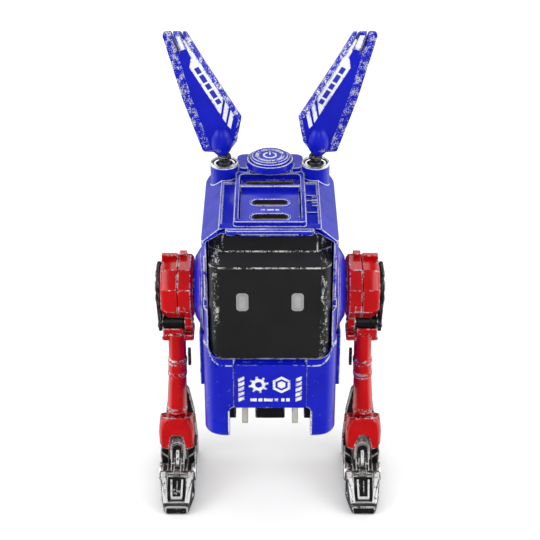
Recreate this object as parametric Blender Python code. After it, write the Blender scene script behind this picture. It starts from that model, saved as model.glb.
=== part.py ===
"""Pocket wall charger styled as a standing robot, with posable ears, legs and feet.

The charger's body is a blue shell with a black visor. Its three USB sockets open upwards, and its two
mains blades fold out of a black base. All sizes are in millimetres, and are scaled to metres once.
Front is -Y, up is +Z, and the origin lies on the floor under the middle of the body.
"""
import math

import bmesh
import bpy
from mathutils import Matrix, Vector

MM = 0.001
GAP = 0.3                       # clearance between pieces that touch or turn on each other
OVERRUN = 1.0                   # how far a cutter runs past the face it opens
SIDES = (("left", -1), ("right", 1))

# Housing: a rectangular tube, open at both ends
BODY_HALF_WIDTH = 16.2
BODY_FRONT = -17.0
BODY_BACK = 18.0
BODY_CORNER = 4.0
SKIRT_BOTTOM = 26.5
SHOULDER_BOTTOM = 81.0
WALL = 1.2
BUMPER_HALF_WIDTH = 16.5
BUMPER_FRONT = -18.0
BUMPER_BACK = -7.0
BUMPER_CORNER = 4.9
BUMPER_TOP = 47.3                           # in the middle; its corners sweep up around the window
BUMPER_CORNER_TOP = 52.0
BUMPER_WALL = 2.7
WINDOW_BOTTOM = 48.4
WINDOW_CORNER = 3.5
RIM_DEPTH = 1.6                             # the bevelled rim from the bumper's edge in to the window
NOTCH_HALF_WIDTH = 10.1
NOTCH_TOP = 34.7
SIDE_RIB = (18.0, 4.0, 31.5, 47.6)          # outer X, half depth, bottom, top

# Front plate, set into the bumper over the notch
PLATE_HALF_WIDTH = 8.7
PLATE_THICKNESS = 1.5

# Top cover
TOP_LEVEL = 85.0
TOP_HALF_WIDTH = 11.9
COVER_THICKNESS = 1.3
FRAME_HALF_WIDTH = 8.4
FRAME_TOP = 86.3
FRAME_FRONT = -15.9
FRAME_RIM = 1.0
POCKET_BACK = 9.1
CHANNEL_FLOOR = 84.5
LIP_HALF_WIDTH = 10.2
LIP_BOTTOM = 83.2
DECK_FRONT = 9.8
DECK_TOP = 87.5

# Sockets for the plugs
USB_A_CENTRE_Y = 6.0
USB_A_SHELL = (6.5, 2.75)                   # half width, half depth of the outside
USB_C_CENTRES_Y = (("front", -11.2), ("rear", -3.9))
USB_C_SHELL = (4.47, 1.6)
SHELL_THICKNESS = 0.35
SHELL_BOTTOM = 72.0

# Power button
BUTTON_Y = 12.0
BUTTON_RADIUS = 4.9
BUTTON_TOP = 90.0
BOSS_RADIUS = 5.9
BOSS_TOP = 89.2
CAP_BOTTOM = 87.2                           # the button's cap slides in a recess, on a thinner stem
RECESS_FLOOR = 86.2
STEM_RADIUS = 2.2
FLANGE_RADIUS = 2.9

# Visor and eyes
VISOR_HALF_WIDTH = 14.7
VISOR_BOTTOM = 48.7
VISOR_CREASE = 74.45
VISOR_BEVEL_TOP = 77.4
VISOR_SHOULDER = 81.1
VISOR_TOP = 82.5
VISOR_TOP_HALF_WIDTH = 12.3
VISOR_UPPER_FRONT = -14.1
VISOR_UPPER_HALF_WIDTH = 11.2
VISOR_BACK = -11.0
VISOR_CORNER = 3.0
VISOR_SHELL = 1.3
EYE_X = 6.6
EYE_Z = 65.1
EYE_HALF = (1.52, 2.55)
EYE_CORNER = 1.0

# Base with its folding blades
BASE_BOTTOM = 29.1
BASE_TOP = 36.0
BASE_FRONT = -15.0
SLOT_INNER = 3.73
SLOT_OUTER = 8.6
BASE_HALF_WIDTH = 14.6
BASE_BACK = 16.4
SCREW_PLACES = ((-11.0, 12.0), (11.0, 12.0))
SCREW_HEAD_RADIUS = 1.6
SCREW_RADIUS = 1.0
BLADE_X = 6.35
BLADE_THICKNESS = 1.5
BLADE_WIDTH = 6.3
BLADE_TIP = -15.0
BLADE_PIVOT = (2.0, 30.85)                  # Y, Z
PIVOT_SHAFT_RADIUS = 1.4
PIVOT_SHAFT_HALF_LENGTH = 10.0

# Inside the body: each box as (low X, high X), (low Y, high Y), (low Z, high Z)
MAIN_BOARD = ((-11.8, 11.8), (9.0, 10.4), (38.0, 69.8))
EYE_BOARD = ((-11.0, 11.0), (-14.4, -13.4), (59.0, 70.0))
TRANSFORMER = ((-10.5, 2.5), (-3.5, 8.6), (41.0, 56.0))
CAPACITOR_AXIS = (7.6, 4.2)
CAPACITOR_RADIUS = 4.2
CAPACITOR_Z = (40.0, 56.0)
CONTACT_Y = (-2.5, 8.0)
CONTACT_HEIGHT = 3.3
SWITCH_Z = (78.0, 80.6)

# Ears: a ball stud in a turning cup on each rear shoulder
EAR_X = 11.3
EAR_Y = 11.2
BALL_Z = 87.2
BALL_RADIUS = 1.85
CUP_RADIUS = 2.65
CUP_BORE = 2.15
CUP_BOTTOM = 84.5
CUP_TOP = 88.2
SOCKET_RADIUS = 3.5
SOCKET_TOP = 88.5
EAR_THICKNESS = 2.6
EAR_OUTLINE = ((16.5, 91.6), (21.0, 105.1), (25.5, 122.1), (24.4, 123.0), (19.7, 122.9),
               (15.7, 115.4), (10.8, 107.2), (6.9, 100.7), (8.1, 94.3), (10.4, 91.2))
KNOB_CENTRE = (11.9, 10.9, 94.0)
KNOB_RADII = (2.55, 2.9, 4.0)

# Legs
HIP_Z = 59.4
HIP_BOSS = ((16.5, 11.4), (18.7, 7.6))      # X and radius at the foot and at the face of the cone
AXLE_RADIUS = 2.0
AXLE_HEAD_RADIUS = 3.4
DRUM_RADIUS = 8.35
DRUM_INNER_X = (19.0, 22.8)
DRUM_OUTER_X = (23.1, 27.2)
CAP_RADIUS = 5.3
CAP_OUTER_X = 28.9
THIGH_PLATE_X = (27.5, 28.3)
KNEE = (-0.5, 49.0)                         # Y, Z
KNEE_RADIUS = 2.4
KNEE_PIN_RADIUS = 1.0
LUG_X = (19.6, 21.6)
BARREL_X = (21.9, 27.2)
COLLAR_X = (19.4, 27.2)                     # cradle under the knee, with a lip in front of the barrel
COLLAR_Y = (-3.8, 2.5)
COLLAR_Z = (45.3, 46.9)
LIP_X = (22.0, 27.2)
LIP_TOP = 48.8
TUBE_CENTRE = (23.7, -2.5)
TUBE_RADIUS = 2.25
TUBE_BOTTOM = 22.7
TUBE_TOP = 47.3
BAND_RADIUS = 2.55
BAND_Z = (34.1, 39.5)
LINK_X = (20.35, 21.1)                      # flat bar beside the tube
LINK_Y = (-3.3, -1.5)
LINK_Z = (37.1, 42.1)

# Ankles, feet and toes
ANKLE_X = 24.6
ANKLE = (-2.5, 17.0)                        # Y, Z
ANKLE_PIN_RADIUS = 1.1
HOOD_Z = (12.8, 22.4)
ARCH_HALF_WIDTH = 2.1
ARCH_TOP = 17.2
NECK_HALF_WIDTH = 1.4
NECK_RADIUS = 2.1
INSTEP_HALF_WIDTH = 1.8
SOLE_HALF_WIDTH = 4.4
SOLE_THICKNESS = 2.0
HEEL_Y = (7.0, 9.0)
HEEL_TOP = 23.0
TOE_HINGE = (-7.5, 6.0)                     # Y, Z
TOE_PIN_RADIUS = 0.9
TOE_PIN_HEAD_RADIUS = 1.6
TOE_PIN_HALF_LENGTH = 4.95
TOE_TIP = -18.0
TOE_ARM_X = (2.4, 4.1)

COLOURS = {
    "blue_paint": ((0.010, 0.022, 0.62), 0.32, 0.0),
    "red_paint": ((0.72, 0.006, 0.010), 0.25, 0.0),
    "black_plastic": ((0.018, 0.018, 0.021), 0.42, 0.0),
    "eye_grey": ((0.42, 0.42, 0.42), 0.35, 0.0),
    "steel": ((0.62, 0.61, 0.59), 0.28, 1.0),
    "gold": ((0.75, 0.58, 0.27), 0.30, 1.0),
    "worn_black": ((0.045, 0.046, 0.050), 0.38, 0.6),
    "board_green": ((0.02, 0.16, 0.06), 0.50, 0.0),
    "ferrite": ((0.33, 0.30, 0.12), 0.55, 0.0),
}


def clear_scene():
    for item in list(bpy.data.objects):
        bpy.data.objects.remove(item, do_unlink=True)


def material(name):
    """One Principled material for each finish, shared by the pieces that have it."""
    found = bpy.data.materials.get(name)
    if found:
        return found
    colour, roughness, metallic = COLOURS[name]
    made = bpy.data.materials.new(name)
    made.use_nodes = True
    shader = made.node_tree.nodes["Principled BSDF"]
    shader.inputs["Base Color"].default_value = (*colour, 1.0)
    shader.inputs["Roughness"].default_value = roughness
    shader.inputs["Metallic"].default_value = metallic
    return made


# ---- outlines, as lists of points in a plane -------------------------------------------------------

def rounded(corners, radius, steps=3):
    """Round each corner of a closed outline with an arc of the given radius."""
    points = []
    count = len(corners)
    for index in range(count):
        corner = Vector(corners[index])
        before = (Vector(corners[index - 1]) - corner).normalized()
        after = (Vector(corners[(index + 1) % count]) - corner).normalized()
        opening = before.angle(after)
        centre = corner + (before + after).normalized() * radius / math.sin(opening / 2)
        reach = radius / math.tan(opening / 2)
        start = corner + before * reach - centre
        end = corner + after * reach - centre
        sweep = math.pi - opening
        for step in range(steps + 1):
            share = step / steps
            arm = start * math.sin((1 - share) * sweep) + end * math.sin(share * sweep)
            points.append(tuple(centre + arm / math.sin(sweep)))
    return points


def rectangle(low_a, high_a, low_b, high_b):
    return [(low_a, low_b), (high_a, low_b), (high_a, high_b), (low_a, high_b)]


def circle(centre_a, centre_b, radius, steps=20):
    turns = [2 * math.pi * index / steps for index in range(steps)]
    return [(centre_a + radius * math.cos(turn), centre_b + radius * math.sin(turn)) for turn in turns]


def mirrored(outline, side):
    """Mirror an outline whose first coordinate is X when it belongs to the left."""
    return [(side * first, second) for first, second in outline]


# ---- solids ---------------------------------------------------------------------------------------

PLANES = {"X": (1, 2, 0), "Y": (0, 2, 1), "Z": (0, 1, 2)}


def place(axis, first, second, along):
    """A point from its two coordinates in the plane across an axis, and its place along that axis."""
    point = [0.0, 0.0, 0.0]
    plane = PLANES[axis]
    point[plane[0]] = first
    point[plane[1]] = second
    point[plane[2]] = along
    return point


def loft(mesh, rings):
    """Skin a row of rings, which have the same number of points, and close both ends."""
    rows = [[mesh.verts.new(point) for point in ring] for ring in rings]
    count = len(rows[0])
    for lower, upper in zip(rows, rows[1:]):
        for index in range(count):
            following = (index + 1) % count
            mesh.faces.new((lower[index], lower[following], upper[following], upper[index]))
    mesh.faces.new(list(reversed(rows[0])))
    mesh.faces.new(rows[-1])


def prism(mesh, outline, axis, low, high):
    loft(mesh, [[place(axis, a, b, along) for a, b in outline] for along in (low, high)])


def block(mesh, x, y, z):
    prism(mesh, rectangle(x[0], x[1], y[0], y[1]), "Z", z[0], z[1])


def turned(mesh, profile, axis, centre, steps=20):
    """Turn a profile of (radius, place along the axis) pairs into a closed solid.

    A profile whose ends are at radius 0 closes at its poles; any other closes on itself, as a ring.
    """
    rows = []
    for radius, along in profile:
        if radius == 0:
            rows.append([mesh.verts.new(place(axis, centre[0], centre[1], along))])
        else:
            ring = circle(centre[0], centre[1], radius, steps)
            rows.append([mesh.verts.new(place(axis, a, b, along)) for a, b in ring])
    pairs = list(zip(rows, rows[1:]))
    if profile[0][0] != 0:
        pairs.append((rows[-1], rows[0]))
    for lower, upper in pairs:
        for index in range(steps):
            following = (index + 1) % steps
            corners = [lower[index % len(lower)], lower[following % len(lower)],
                       upper[following % len(upper)], upper[index % len(upper)]]
            mesh.faces.new(list(dict.fromkeys(corners)))


def shape(make, *values):
    """A bmesh holding one solid."""
    mesh = bmesh.new()
    make(mesh, *values)
    bmesh.ops.recalc_face_normals(mesh, faces=mesh.faces)
    return mesh


def store(name, mesh, origin):
    """Turn a bmesh in millimetres into an object whose own origin is at the given world point."""
    bmesh.ops.translate(mesh, verts=mesh.verts, vec=-Vector(origin))
    bmesh.ops.transform(mesh, verts=mesh.verts, matrix=Matrix.Scale(MM, 4))
    data = bpy.data.meshes.new(name)
    mesh.to_mesh(data)
    mesh.free()
    made = bpy.data.objects.new(name, data)
    bpy.context.scene.collection.objects.link(made)
    return made


class Body:
    """A group of pieces that move together, under an empty that stands on their joint."""

    def __init__(self, name, pivot, parent=None):
        self.pivot = Vector(pivot)
        self.empty = bpy.data.objects.new("pivot_" + name, None)
        bpy.context.scene.collection.objects.link(self.empty)
        self.empty.location = self.pivot * MM
        if parent:
            self.empty.parent = parent.empty
            self.empty.location = (self.pivot - parent.pivot) * MM

    def piece(self, name, finish, mesh, cuts=(), joins=(), bevel=0.0):
        """Add a piece: its first solid, then the solids joined to it, then those cut from it."""
        made = store(name, mesh, self.pivot)
        made.parent = self.empty
        made.data.materials.append(material(finish))
        if bevel:
            edge = made.modifiers.new("edge", "BEVEL")
            edge.width = bevel * MM
            edge.segments = 1
            edge.limit_method = "ANGLE"
        for operation, tools in (("UNION", joins), ("DIFFERENCE", cuts)):
            for tool_mesh in tools:
                self.boolean(made, operation, tool_mesh)
        made.data.shade_smooth()
        made.data.set_sharp_from_angle(angle=math.radians(35))
        return made

    def boolean(self, made, operation, tool_mesh):
        number = len(made.modifiers)
        tool = store(f"{made.name}_tool_{number}", tool_mesh, self.pivot)
        tool.parent = self.empty
        tool.hide_render = True
        tool.display_type = "WIRE"
        step = made.modifiers.new(f"{operation.lower()}_{number}", "BOOLEAN")
        step.operation = operation
        step.object = tool
        step.solver = "EXACT"


# ---- body shell -----------------------------------------------------------------------------------

def body_outline(inset=0.0):
    edge = BODY_HALF_WIDTH - inset
    corners = rectangle(-edge, edge, BODY_FRONT + inset, BODY_BACK - inset)
    return rounded(corners, BODY_CORNER - inset, 4)


def build_housing(root):
    inner = BODY_HALF_WIDTH - WALL
    bumper = rounded(rectangle(-BUMPER_HALF_WIDTH, BUMPER_HALF_WIDTH, BUMPER_FRONT, BUMPER_BACK),
                     BUMPER_CORNER, 5)
    cavity_front = BUMPER_FRONT + BUMPER_WALL
    cavity = rounded(rectangle(-inner, inner, cavity_front, BODY_BACK - WALL), 2.0)
    notch = rounded([(-NOTCH_HALF_WIDTH, SKIRT_BOTTOM - 4), (NOTCH_HALF_WIDTH, SKIRT_BOTTOM - 4),
                     (NOTCH_HALF_WIDTH, NOTCH_TOP), (-NOTCH_HALF_WIDTH, NOTCH_TOP)], 1.2, 2)
    recess = rectangle(-PLATE_HALF_WIDTH - GAP, PLATE_HALF_WIDTH + GAP, NOTCH_TOP - 1, WINDOW_BOTTOM + 1)
    above = SHOULDER_BOTTOM + 8.0
    window = rounded(rectangle(-inner, inner, WINDOW_BOTTOM, above), WINDOW_CORNER, 3)
    rim = []
    for y, spread in ((BUMPER_FRONT + RIM_DEPTH, 0.0), (BUMPER_FRONT - 0.4, 1.3)):
        edge = rounded(rectangle(-inner - spread, inner + spread, WINDOW_BOTTOM - spread, above + spread),
                       WINDOW_CORNER + spread, 3)
        rim.append([(x, y, z) for x, z in edge])
    far = BODY_FRONT - 5.0
    joins = [shape(prism, bumper, "Z", SKIRT_BOTTOM, BUMPER_CORNER_TOP)]
    rib_x, rib_half, rib_bottom, rib_top = SIDE_RIB
    for _, side in SIDES:
        reach = sorted((side * (BODY_HALF_WIDTH - 0.6), side * rib_x))
        rib = rounded(rectangle(-rib_half, rib_half, rib_bottom, rib_top), 1.0, 1)
        joins.append(shape(prism, rib, "X", *reach))
    cuts = [
        shape(prism, cavity, "Z", SKIRT_BOTTOM - OVERRUN, SHOULDER_BOTTOM + OVERRUN),
        shape(prism, window, "Y", far, VISOR_BACK + GAP),
        shape(loft, rim),
        shape(prism, notch, "Y", far, cavity_front + OVERRUN),
        shape(prism, recess, "Y", far, BUMPER_FRONT + PLATE_THICKNESS + GAP),
    ]
    for _, side in SIDES:
        reach = sorted((side * (inner - OVERRUN), side * (BODY_HALF_WIDTH + OVERRUN)))
        cuts.append(shape(prism, circle(0, HIP_Z, AXLE_RADIUS + GAP), "X", *reach))
    shell = shape(prism, body_outline(), "Z", SKIRT_BOTTOM, SHOULDER_BOTTOM - GAP)
    root.piece("housing", "blue_paint", shell, cuts, joins)


def build_front_plate(root):
    outline = rectangle(-PLATE_HALF_WIDTH, PLATE_HALF_WIDTH, NOTCH_TOP, BUMPER_TOP)
    plate = shape(prism, outline, "Y", BUMPER_FRONT, BUMPER_FRONT + PLATE_THICKNESS)
    root.piece("front_plate", "blue_paint", plate, bevel=0.3)


def shoulder_outline(side, slope_end, bottom, edge, top):
    """Cross-section of the top cover, in X and Z: sloped shoulders under a flat top."""
    return [(-side, bottom), (side, bottom), (side, edge), (slope_end, top), (-slope_end, top), (-side, edge)]


def build_top_cover(root):
    spare = 0.3                             # trimmed off again along the body's outline
    inner = BODY_HALF_WIDTH - COVER_THICKNESS
    outside = shoulder_outline(BODY_HALF_WIDTH + spare, TOP_HALF_WIDTH, SHOULDER_BOTTOM,
                               SHOULDER_BOTTOM + 0.04, TOP_LEVEL)
    inside = shoulder_outline(inner, TOP_HALF_WIDTH - 0.5, SHOULDER_BOTTOM - OVERRUN,
                              SHOULDER_BOTTOM + 0.5, TOP_LEVEL - COVER_THICKNESS)
    cover = shape(prism, outside, "Y", BODY_FRONT, BODY_BACK + spare)
    frame = rounded(rectangle(-FRAME_HALF_WIDTH, FRAME_HALF_WIDTH, FRAME_FRONT, DECK_FRONT + 2), 0.8, 2)
    deck_half = FRAME_HALF_WIDTH - 0.1
    deck = rounded(rectangle(-deck_half, deck_half, DECK_FRONT, BODY_BACK - 0.1), 2.0, 3)
    lip = rounded(rectangle(-LIP_HALF_WIDTH, LIP_HALF_WIDTH, BUMPER_FRONT, FRAME_FRONT + 1.5), 0.9, 2)
    joins = [
        shape(prism, frame, "Z", CHANNEL_FLOOR - 0.6, FRAME_TOP),
        shape(prism, deck, "Z", CHANNEL_FLOOR - 0.4, DECK_TOP),
        shape(prism, lip, "Z", LIP_BOTTOM, TOP_LEVEL - 0.05),
        shape(turned, [(0, DECK_TOP - 1), (BOSS_RADIUS, DECK_TOP - 1), (BOSS_RADIUS, DECK_TOP + 0.6),
                       (BOSS_RADIUS - 0.4, BOSS_TOP), (0, BOSS_TOP)], "Z", (0, BUTTON_Y), 28),
    ]
    for _, side in SIDES:
        centre = (side * EAR_X, EAR_Y)
        joins.append(shape(turned, [(0, 82.4), (SOCKET_RADIUS, 82.4), (SOCKET_RADIUS, SOCKET_TOP - 0.4),
                                    (SOCKET_RADIUS - 0.3, SOCKET_TOP), (0, SOCKET_TOP)], "Z", centre))
    pocket_half = FRAME_HALF_WIDTH - FRAME_RIM
    pocket = rounded(rectangle(-pocket_half, pocket_half, FRAME_FRONT + FRAME_RIM, POCKET_BACK), 0.8, 2)
    cuts = [
        shape(prism, inside, "Y", BODY_FRONT - 2, BODY_BACK - COVER_THICKNESS),
        shape(prism, pocket, "Z", TOP_LEVEL - 4, FRAME_TOP + OVERRUN),
        shape(prism, circle(0, BUTTON_Y, BUTTON_RADIUS + GAP, 28), "Z", RECESS_FLOOR, BUTTON_TOP + 2),
        shape(prism, circle(0, BUTTON_Y, STEM_RADIUS + GAP, 20), "Z", TOP_LEVEL - 3, RECESS_FLOOR + OVERRUN),
    ]
    for _, side in SIDES:
        cup_hole = circle(side * EAR_X, EAR_Y, CUP_RADIUS + GAP, 24)
        cuts.append(shape(prism, cup_hole, "Z", CUP_BOTTOM - GAP, SOCKET_TOP + OVERRUN))
        across = sorted((side * (FRAME_HALF_WIDTH + 0.1), side * 11.4))
        channel = rectangle(across[0], across[1], FRAME_FRONT + 1.5, 7.0)
        cuts.append(shape(prism, channel, "Z", CHANNEL_FLOOR, FRAME_TOP + OVERRUN))
    made = root.piece("top_cover", "blue_paint", cover, cuts, joins)
    corners = rectangle(-BODY_HALF_WIDTH, BODY_HALF_WIDTH, BUMPER_FRONT - OVERRUN, BODY_BACK)
    trim = shape(prism, rounded(corners, BODY_CORNER, 4), "Z", SHOULDER_BOTTOM - 3, BUTTON_TOP + 5)
    root.boolean(made, "INTERSECT", trim)


def build_port_panel(root):
    half = FRAME_HALF_WIDTH - FRAME_RIM - GAP
    outline = rounded(rectangle(-half, half, FRAME_FRONT + FRAME_RIM + GAP, POCKET_BACK - GAP), 0.6, 2)
    panel = shape(prism, outline, "Z", TOP_LEVEL - COVER_THICKNESS, TOP_LEVEL)
    bar = shape(block, (-half + 0.2, half - 0.2), (1.9, 3.1), (TOP_LEVEL - 0.5, FRAME_TOP))
    slot_a = rounded(rectangle(-6.15, 6.15, USB_A_CENTRE_Y - 2.25, USB_A_CENTRE_Y + 2.25), 0.4, 1)
    cuts = [shape(prism, slot_a, "Z", TOP_LEVEL - 3, TOP_LEVEL + OVERRUN)]
    for _, centre_y in USB_C_CENTRES_Y:
        slot_c = rounded(rectangle(-4.3, 4.3, centre_y - 1.4, centre_y + 1.4), 1.35, 4)
        cuts.append(shape(prism, slot_c, "Z", TOP_LEVEL - 3, TOP_LEVEL + OVERRUN))
    root.piece("port_panel", "blue_paint", panel, cuts, [bar])


def build_ports(root):
    """Sheet-metal socket shells under the panel, open at the top, each with a tongue in the middle."""
    shell_top = TOP_LEVEL - COVER_THICKNESS - GAP
    half_x, half_y = USB_A_SHELL
    ports = [("usb_a_port", "steel", USB_A_CENTRE_Y, half_x, half_y, 0.5)]
    for end, centre_y in USB_C_CENTRES_Y:
        ports.append((f"usb_c_port_{end}", "gold", centre_y, *USB_C_SHELL, 1.5))
    for name, finish, centre_y, half_x, half_y, corner in ports:
        outer = rounded(rectangle(-half_x, half_x, centre_y - half_y, centre_y + half_y), corner, 3)
        inner_x = half_x - SHELL_THICKNESS
        inner_y = half_y - SHELL_THICKNESS
        inner_corner = corner - SHELL_THICKNESS
        inner = rounded(rectangle(-inner_x, inner_x, centre_y - inner_y, centre_y + inner_y), inner_corner, 3)
        tongue = shape(block, (-0.75 * inner_x, 0.75 * inner_x), (centre_y - 0.35, centre_y + 0.35),
                       (SHELL_BOTTOM + 1, shell_top - 1.2))
        hollow = shape(prism, inner, "Z", SHELL_BOTTOM + 1.5, shell_top + OVERRUN)
        made = root.piece(name, finish, shape(prism, outer, "Z", SHELL_BOTTOM, shell_top), [hollow])
        root.boolean(made, "UNION", tongue)


def build_visor(root):
    def ring(z, inset, front, corner_x, half_width=VISOR_HALF_WIDTH):
        """Plan outline of the visor at one level; corner_x is where the front corner's cut starts."""
        side = half_width - inset
        back = VISOR_BACK + (OVERRUN if inset else 0.0)
        front += inset
        points = [(side, back)]
        steps = 4
        rounding = corner_x > VISOR_UPPER_HALF_WIDTH
        for step in range(steps + 1):
            share = step / steps
            if rounding:
                turn = share * math.pi / 2
                reach = side - (corner_x - inset)
                x = corner_x - inset + reach * math.cos(turn)
                y = front + VISOR_CORNER * (1 - math.sin(turn))
            else:
                x = side + (corner_x - inset * 0.4 - side) * share
                y = front + 2.4 * (1 - share)
            points.append((x, y))
        points += [(-x, y) for x, y in reversed(points)]
        return [(x, y, z) for x, y in points]

    lower_x = VISOR_HALF_WIDTH - VISOR_CORNER
    levels = [(VISOR_BOTTOM - OVERRUN, BODY_FRONT, lower_x), (VISOR_CREASE, BODY_FRONT, lower_x),
              (VISOR_BEVEL_TOP, VISOR_UPPER_FRONT, VISOR_UPPER_HALF_WIDTH),
              (VISOR_SHOULDER, VISOR_UPPER_FRONT, VISOR_UPPER_HALF_WIDTH)]
    rings = [ring(z, 0.0, front, x) for z, front, x in levels]
    top_corner = VISOR_UPPER_HALF_WIDTH - 0.4
    rings.append(ring(VISOR_TOP, 0.0, VISOR_UPPER_FRONT, top_corner, VISOR_TOP_HALF_WIDTH))
    outside = shape(loft, rings)
    inside_levels = list(levels)
    inside_levels[0] = (VISOR_BOTTOM + VISOR_CORNER, BODY_FRONT, lower_x)
    inside_levels[-1] = (VISOR_TOP + OVERRUN, VISOR_UPPER_FRONT, VISOR_UPPER_HALF_WIDTH)
    cuts = [shape(loft, [ring(z, VISOR_SHELL, front, x) for z, front, x in inside_levels])]
    for _, side in SIDES:
        hole = rounded(rectangle(side * EYE_X - EYE_HALF[0] - 0.25, side * EYE_X + EYE_HALF[0] + 0.25,
                                 EYE_Z - EYE_HALF[1] - 0.25, EYE_Z + EYE_HALF[1] + 0.25), EYE_CORNER + 0.25)
        cuts.append(shape(prism, hole, "Y", BODY_FRONT - 1, BODY_FRONT + 3))
    visor = root.piece("visor", "black_plastic", outside, cuts)
    face = rectangle(-VISOR_HALF_WIDTH, VISOR_HALF_WIDTH, VISOR_BOTTOM, VISOR_TOP + 8)
    root.boolean(visor, "INTERSECT", shape(prism, rounded(face, WINDOW_CORNER, 3), "Y", -30.0, 0.0))
    for name, side in SIDES:
        outline = rounded(rectangle(side * EYE_X - EYE_HALF[0], side * EYE_X + EYE_HALF[0],
                                    EYE_Z - EYE_HALF[1], EYE_Z + EYE_HALF[1]), EYE_CORNER)
        lens = shape(prism, outline, "Y", BODY_FRONT + 0.05, BODY_FRONT + 2.2)
        root.piece(f"eye_lens_{name}", "eye_grey", lens)


def build_base(root):
    pivot_y, pivot_z = BLADE_PIVOT
    outline = rounded(rectangle(-BASE_HALF_WIDTH, BASE_HALF_WIDTH, BASE_FRONT, BASE_BACK), 1.6, 3)
    plate = shape(prism, outline, "Z", BASE_BOTTOM, BASE_TOP)
    shaft_end = PIVOT_SHAFT_HALF_LENGTH + 0.4
    cuts = [shape(prism, circle(pivot_y, pivot_z, PIVOT_SHAFT_RADIUS + GAP), "X", -shaft_end, shaft_end)]
    for _, side in SIDES:
        across = sorted((side * SLOT_INNER, side * SLOT_OUTER))
        cuts.append(shape(block, across, (BASE_FRONT - OVERRUN, pivot_y + BLADE_WIDTH / 2 + 2 * GAP),
                          (BASE_BOTTOM - OVERRUN, BASE_TOP + OVERRUN)))
    head_low = BASE_BOTTOM + 0.1
    head_top = BASE_BOTTOM + 1.2
    screw_end = BASE_TOP + 3
    profile = [(0, head_low), (SCREW_HEAD_RADIUS, head_low), (SCREW_HEAD_RADIUS, head_top),
               (SCREW_RADIUS, head_top), (SCREW_RADIUS, screw_end), (0, screw_end)]
    for number, (x, y) in enumerate(SCREW_PLACES, 1):
        recess = circle(x, y, SCREW_HEAD_RADIUS + GAP)
        cuts.append(shape(prism, recess, "Z", BASE_BOTTOM - OVERRUN, head_top + GAP))
        cuts.append(shape(prism, circle(x, y, SCREW_RADIUS + GAP), "Z", BASE_BOTTOM + 1, BASE_TOP + OVERRUN))
        root.piece(f"base_screw_{number}", "steel", shape(turned, profile, "Z", (x, y), 16))
    root.piece("base_plate", "black_plastic", plate, cuts)


def build_blades(plug):
    pivot_y, pivot_z = BLADE_PIVOT
    half = BLADE_WIDTH / 2
    for name, side in SIDES:
        corners = [(BLADE_TIP, pivot_z - half), (pivot_y, pivot_z - half),
                   (pivot_y, pivot_z + half), (BLADE_TIP, pivot_z + half)]
        root_arc = [(pivot_y + half * math.cos(turn), pivot_z + half * math.sin(turn))
                    for turn in [math.radians(angle) for angle in range(-60, 61, 30)]]
        outline = corners[:2] + root_arc + corners[2:]
        across = sorted((side * (BLADE_X - BLADE_THICKNESS / 2), side * (BLADE_X + BLADE_THICKNESS / 2)))
        bore = shape(prism, circle(pivot_y, pivot_z, PIVOT_SHAFT_RADIUS + GAP), "X",
                     across[0] - 1, across[1] + 1)
        plug.piece(f"blade_{name}", "steel", shape(prism, outline, "X", *across), [bore])
    shaft = shape(prism, circle(pivot_y, pivot_z, PIVOT_SHAFT_RADIUS), "X",
                  -PIVOT_SHAFT_HALF_LENGTH, PIVOT_SHAFT_HALF_LENGTH)
    plug.piece("blade_pivot_shaft", "black_plastic", shaft)


def build_electronics(root):
    """What fills the body: the boards, the transformer, the capacitor, the contacts and the switch."""
    root.piece("main_board", "board_green", shape(block, *MAIN_BOARD))
    root.piece("eye_board", "board_green", shape(block, *EYE_BOARD))
    root.piece("transformer", "ferrite", shape(block, *TRANSFORMER), bevel=0.6)
    low, high = CAPACITOR_Z
    can = [(0, low), (CAPACITOR_RADIUS, low), (CAPACITOR_RADIUS, high - 0.5), (CAPACITOR_RADIUS - 0.5, high),
           (0, high)]
    root.piece("capacitor", "black_plastic", shape(turned, can, "Z", CAPACITOR_AXIS, 20))
    for name, side in SIDES:
        across = sorted((side * (BLADE_X - 0.4), side * (BLADE_X + 0.4)))
        contact = shape(block, across, CONTACT_Y, (BASE_TOP + GAP, BASE_TOP + GAP + CONTACT_HEIGHT))
        root.piece(f"blade_contact_{name}", "gold", contact)
    switch_top = SWITCH_Z[1]
    switch = shape(block, (-3.0, 3.0), (BUTTON_Y - 2.6, BUTTON_Y + 3.2), SWITCH_Z)
    plunger = shape(turned, [(0, switch_top - 0.6), (1.6, switch_top - 0.6), (1.6, switch_top + 0.9),
                             (0, switch_top + 0.9)], "Z", (0, BUTTON_Y), 16)
    root.piece("button_switch", "black_plastic", switch, joins=[plunger])


def build_button(button):
    flange_top = TOP_LEVEL - COVER_THICKNESS - GAP
    profile = [(0, flange_top - 0.9), (FLANGE_RADIUS, flange_top - 0.9), (FLANGE_RADIUS, flange_top),
               (STEM_RADIUS, flange_top), (STEM_RADIUS, CAP_BOTTOM), (BUTTON_RADIUS, CAP_BOTTOM),
               (BUTTON_RADIUS, BUTTON_TOP - 0.4), (BUTTON_RADIUS - 0.4, BUTTON_TOP), (0, BUTTON_TOP)]
    button.piece("power_button", "blue_paint", shape(turned, profile, "Z", (0, BUTTON_Y), 28))


# ---- ears -----------------------------------------------------------------------------------------

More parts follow.
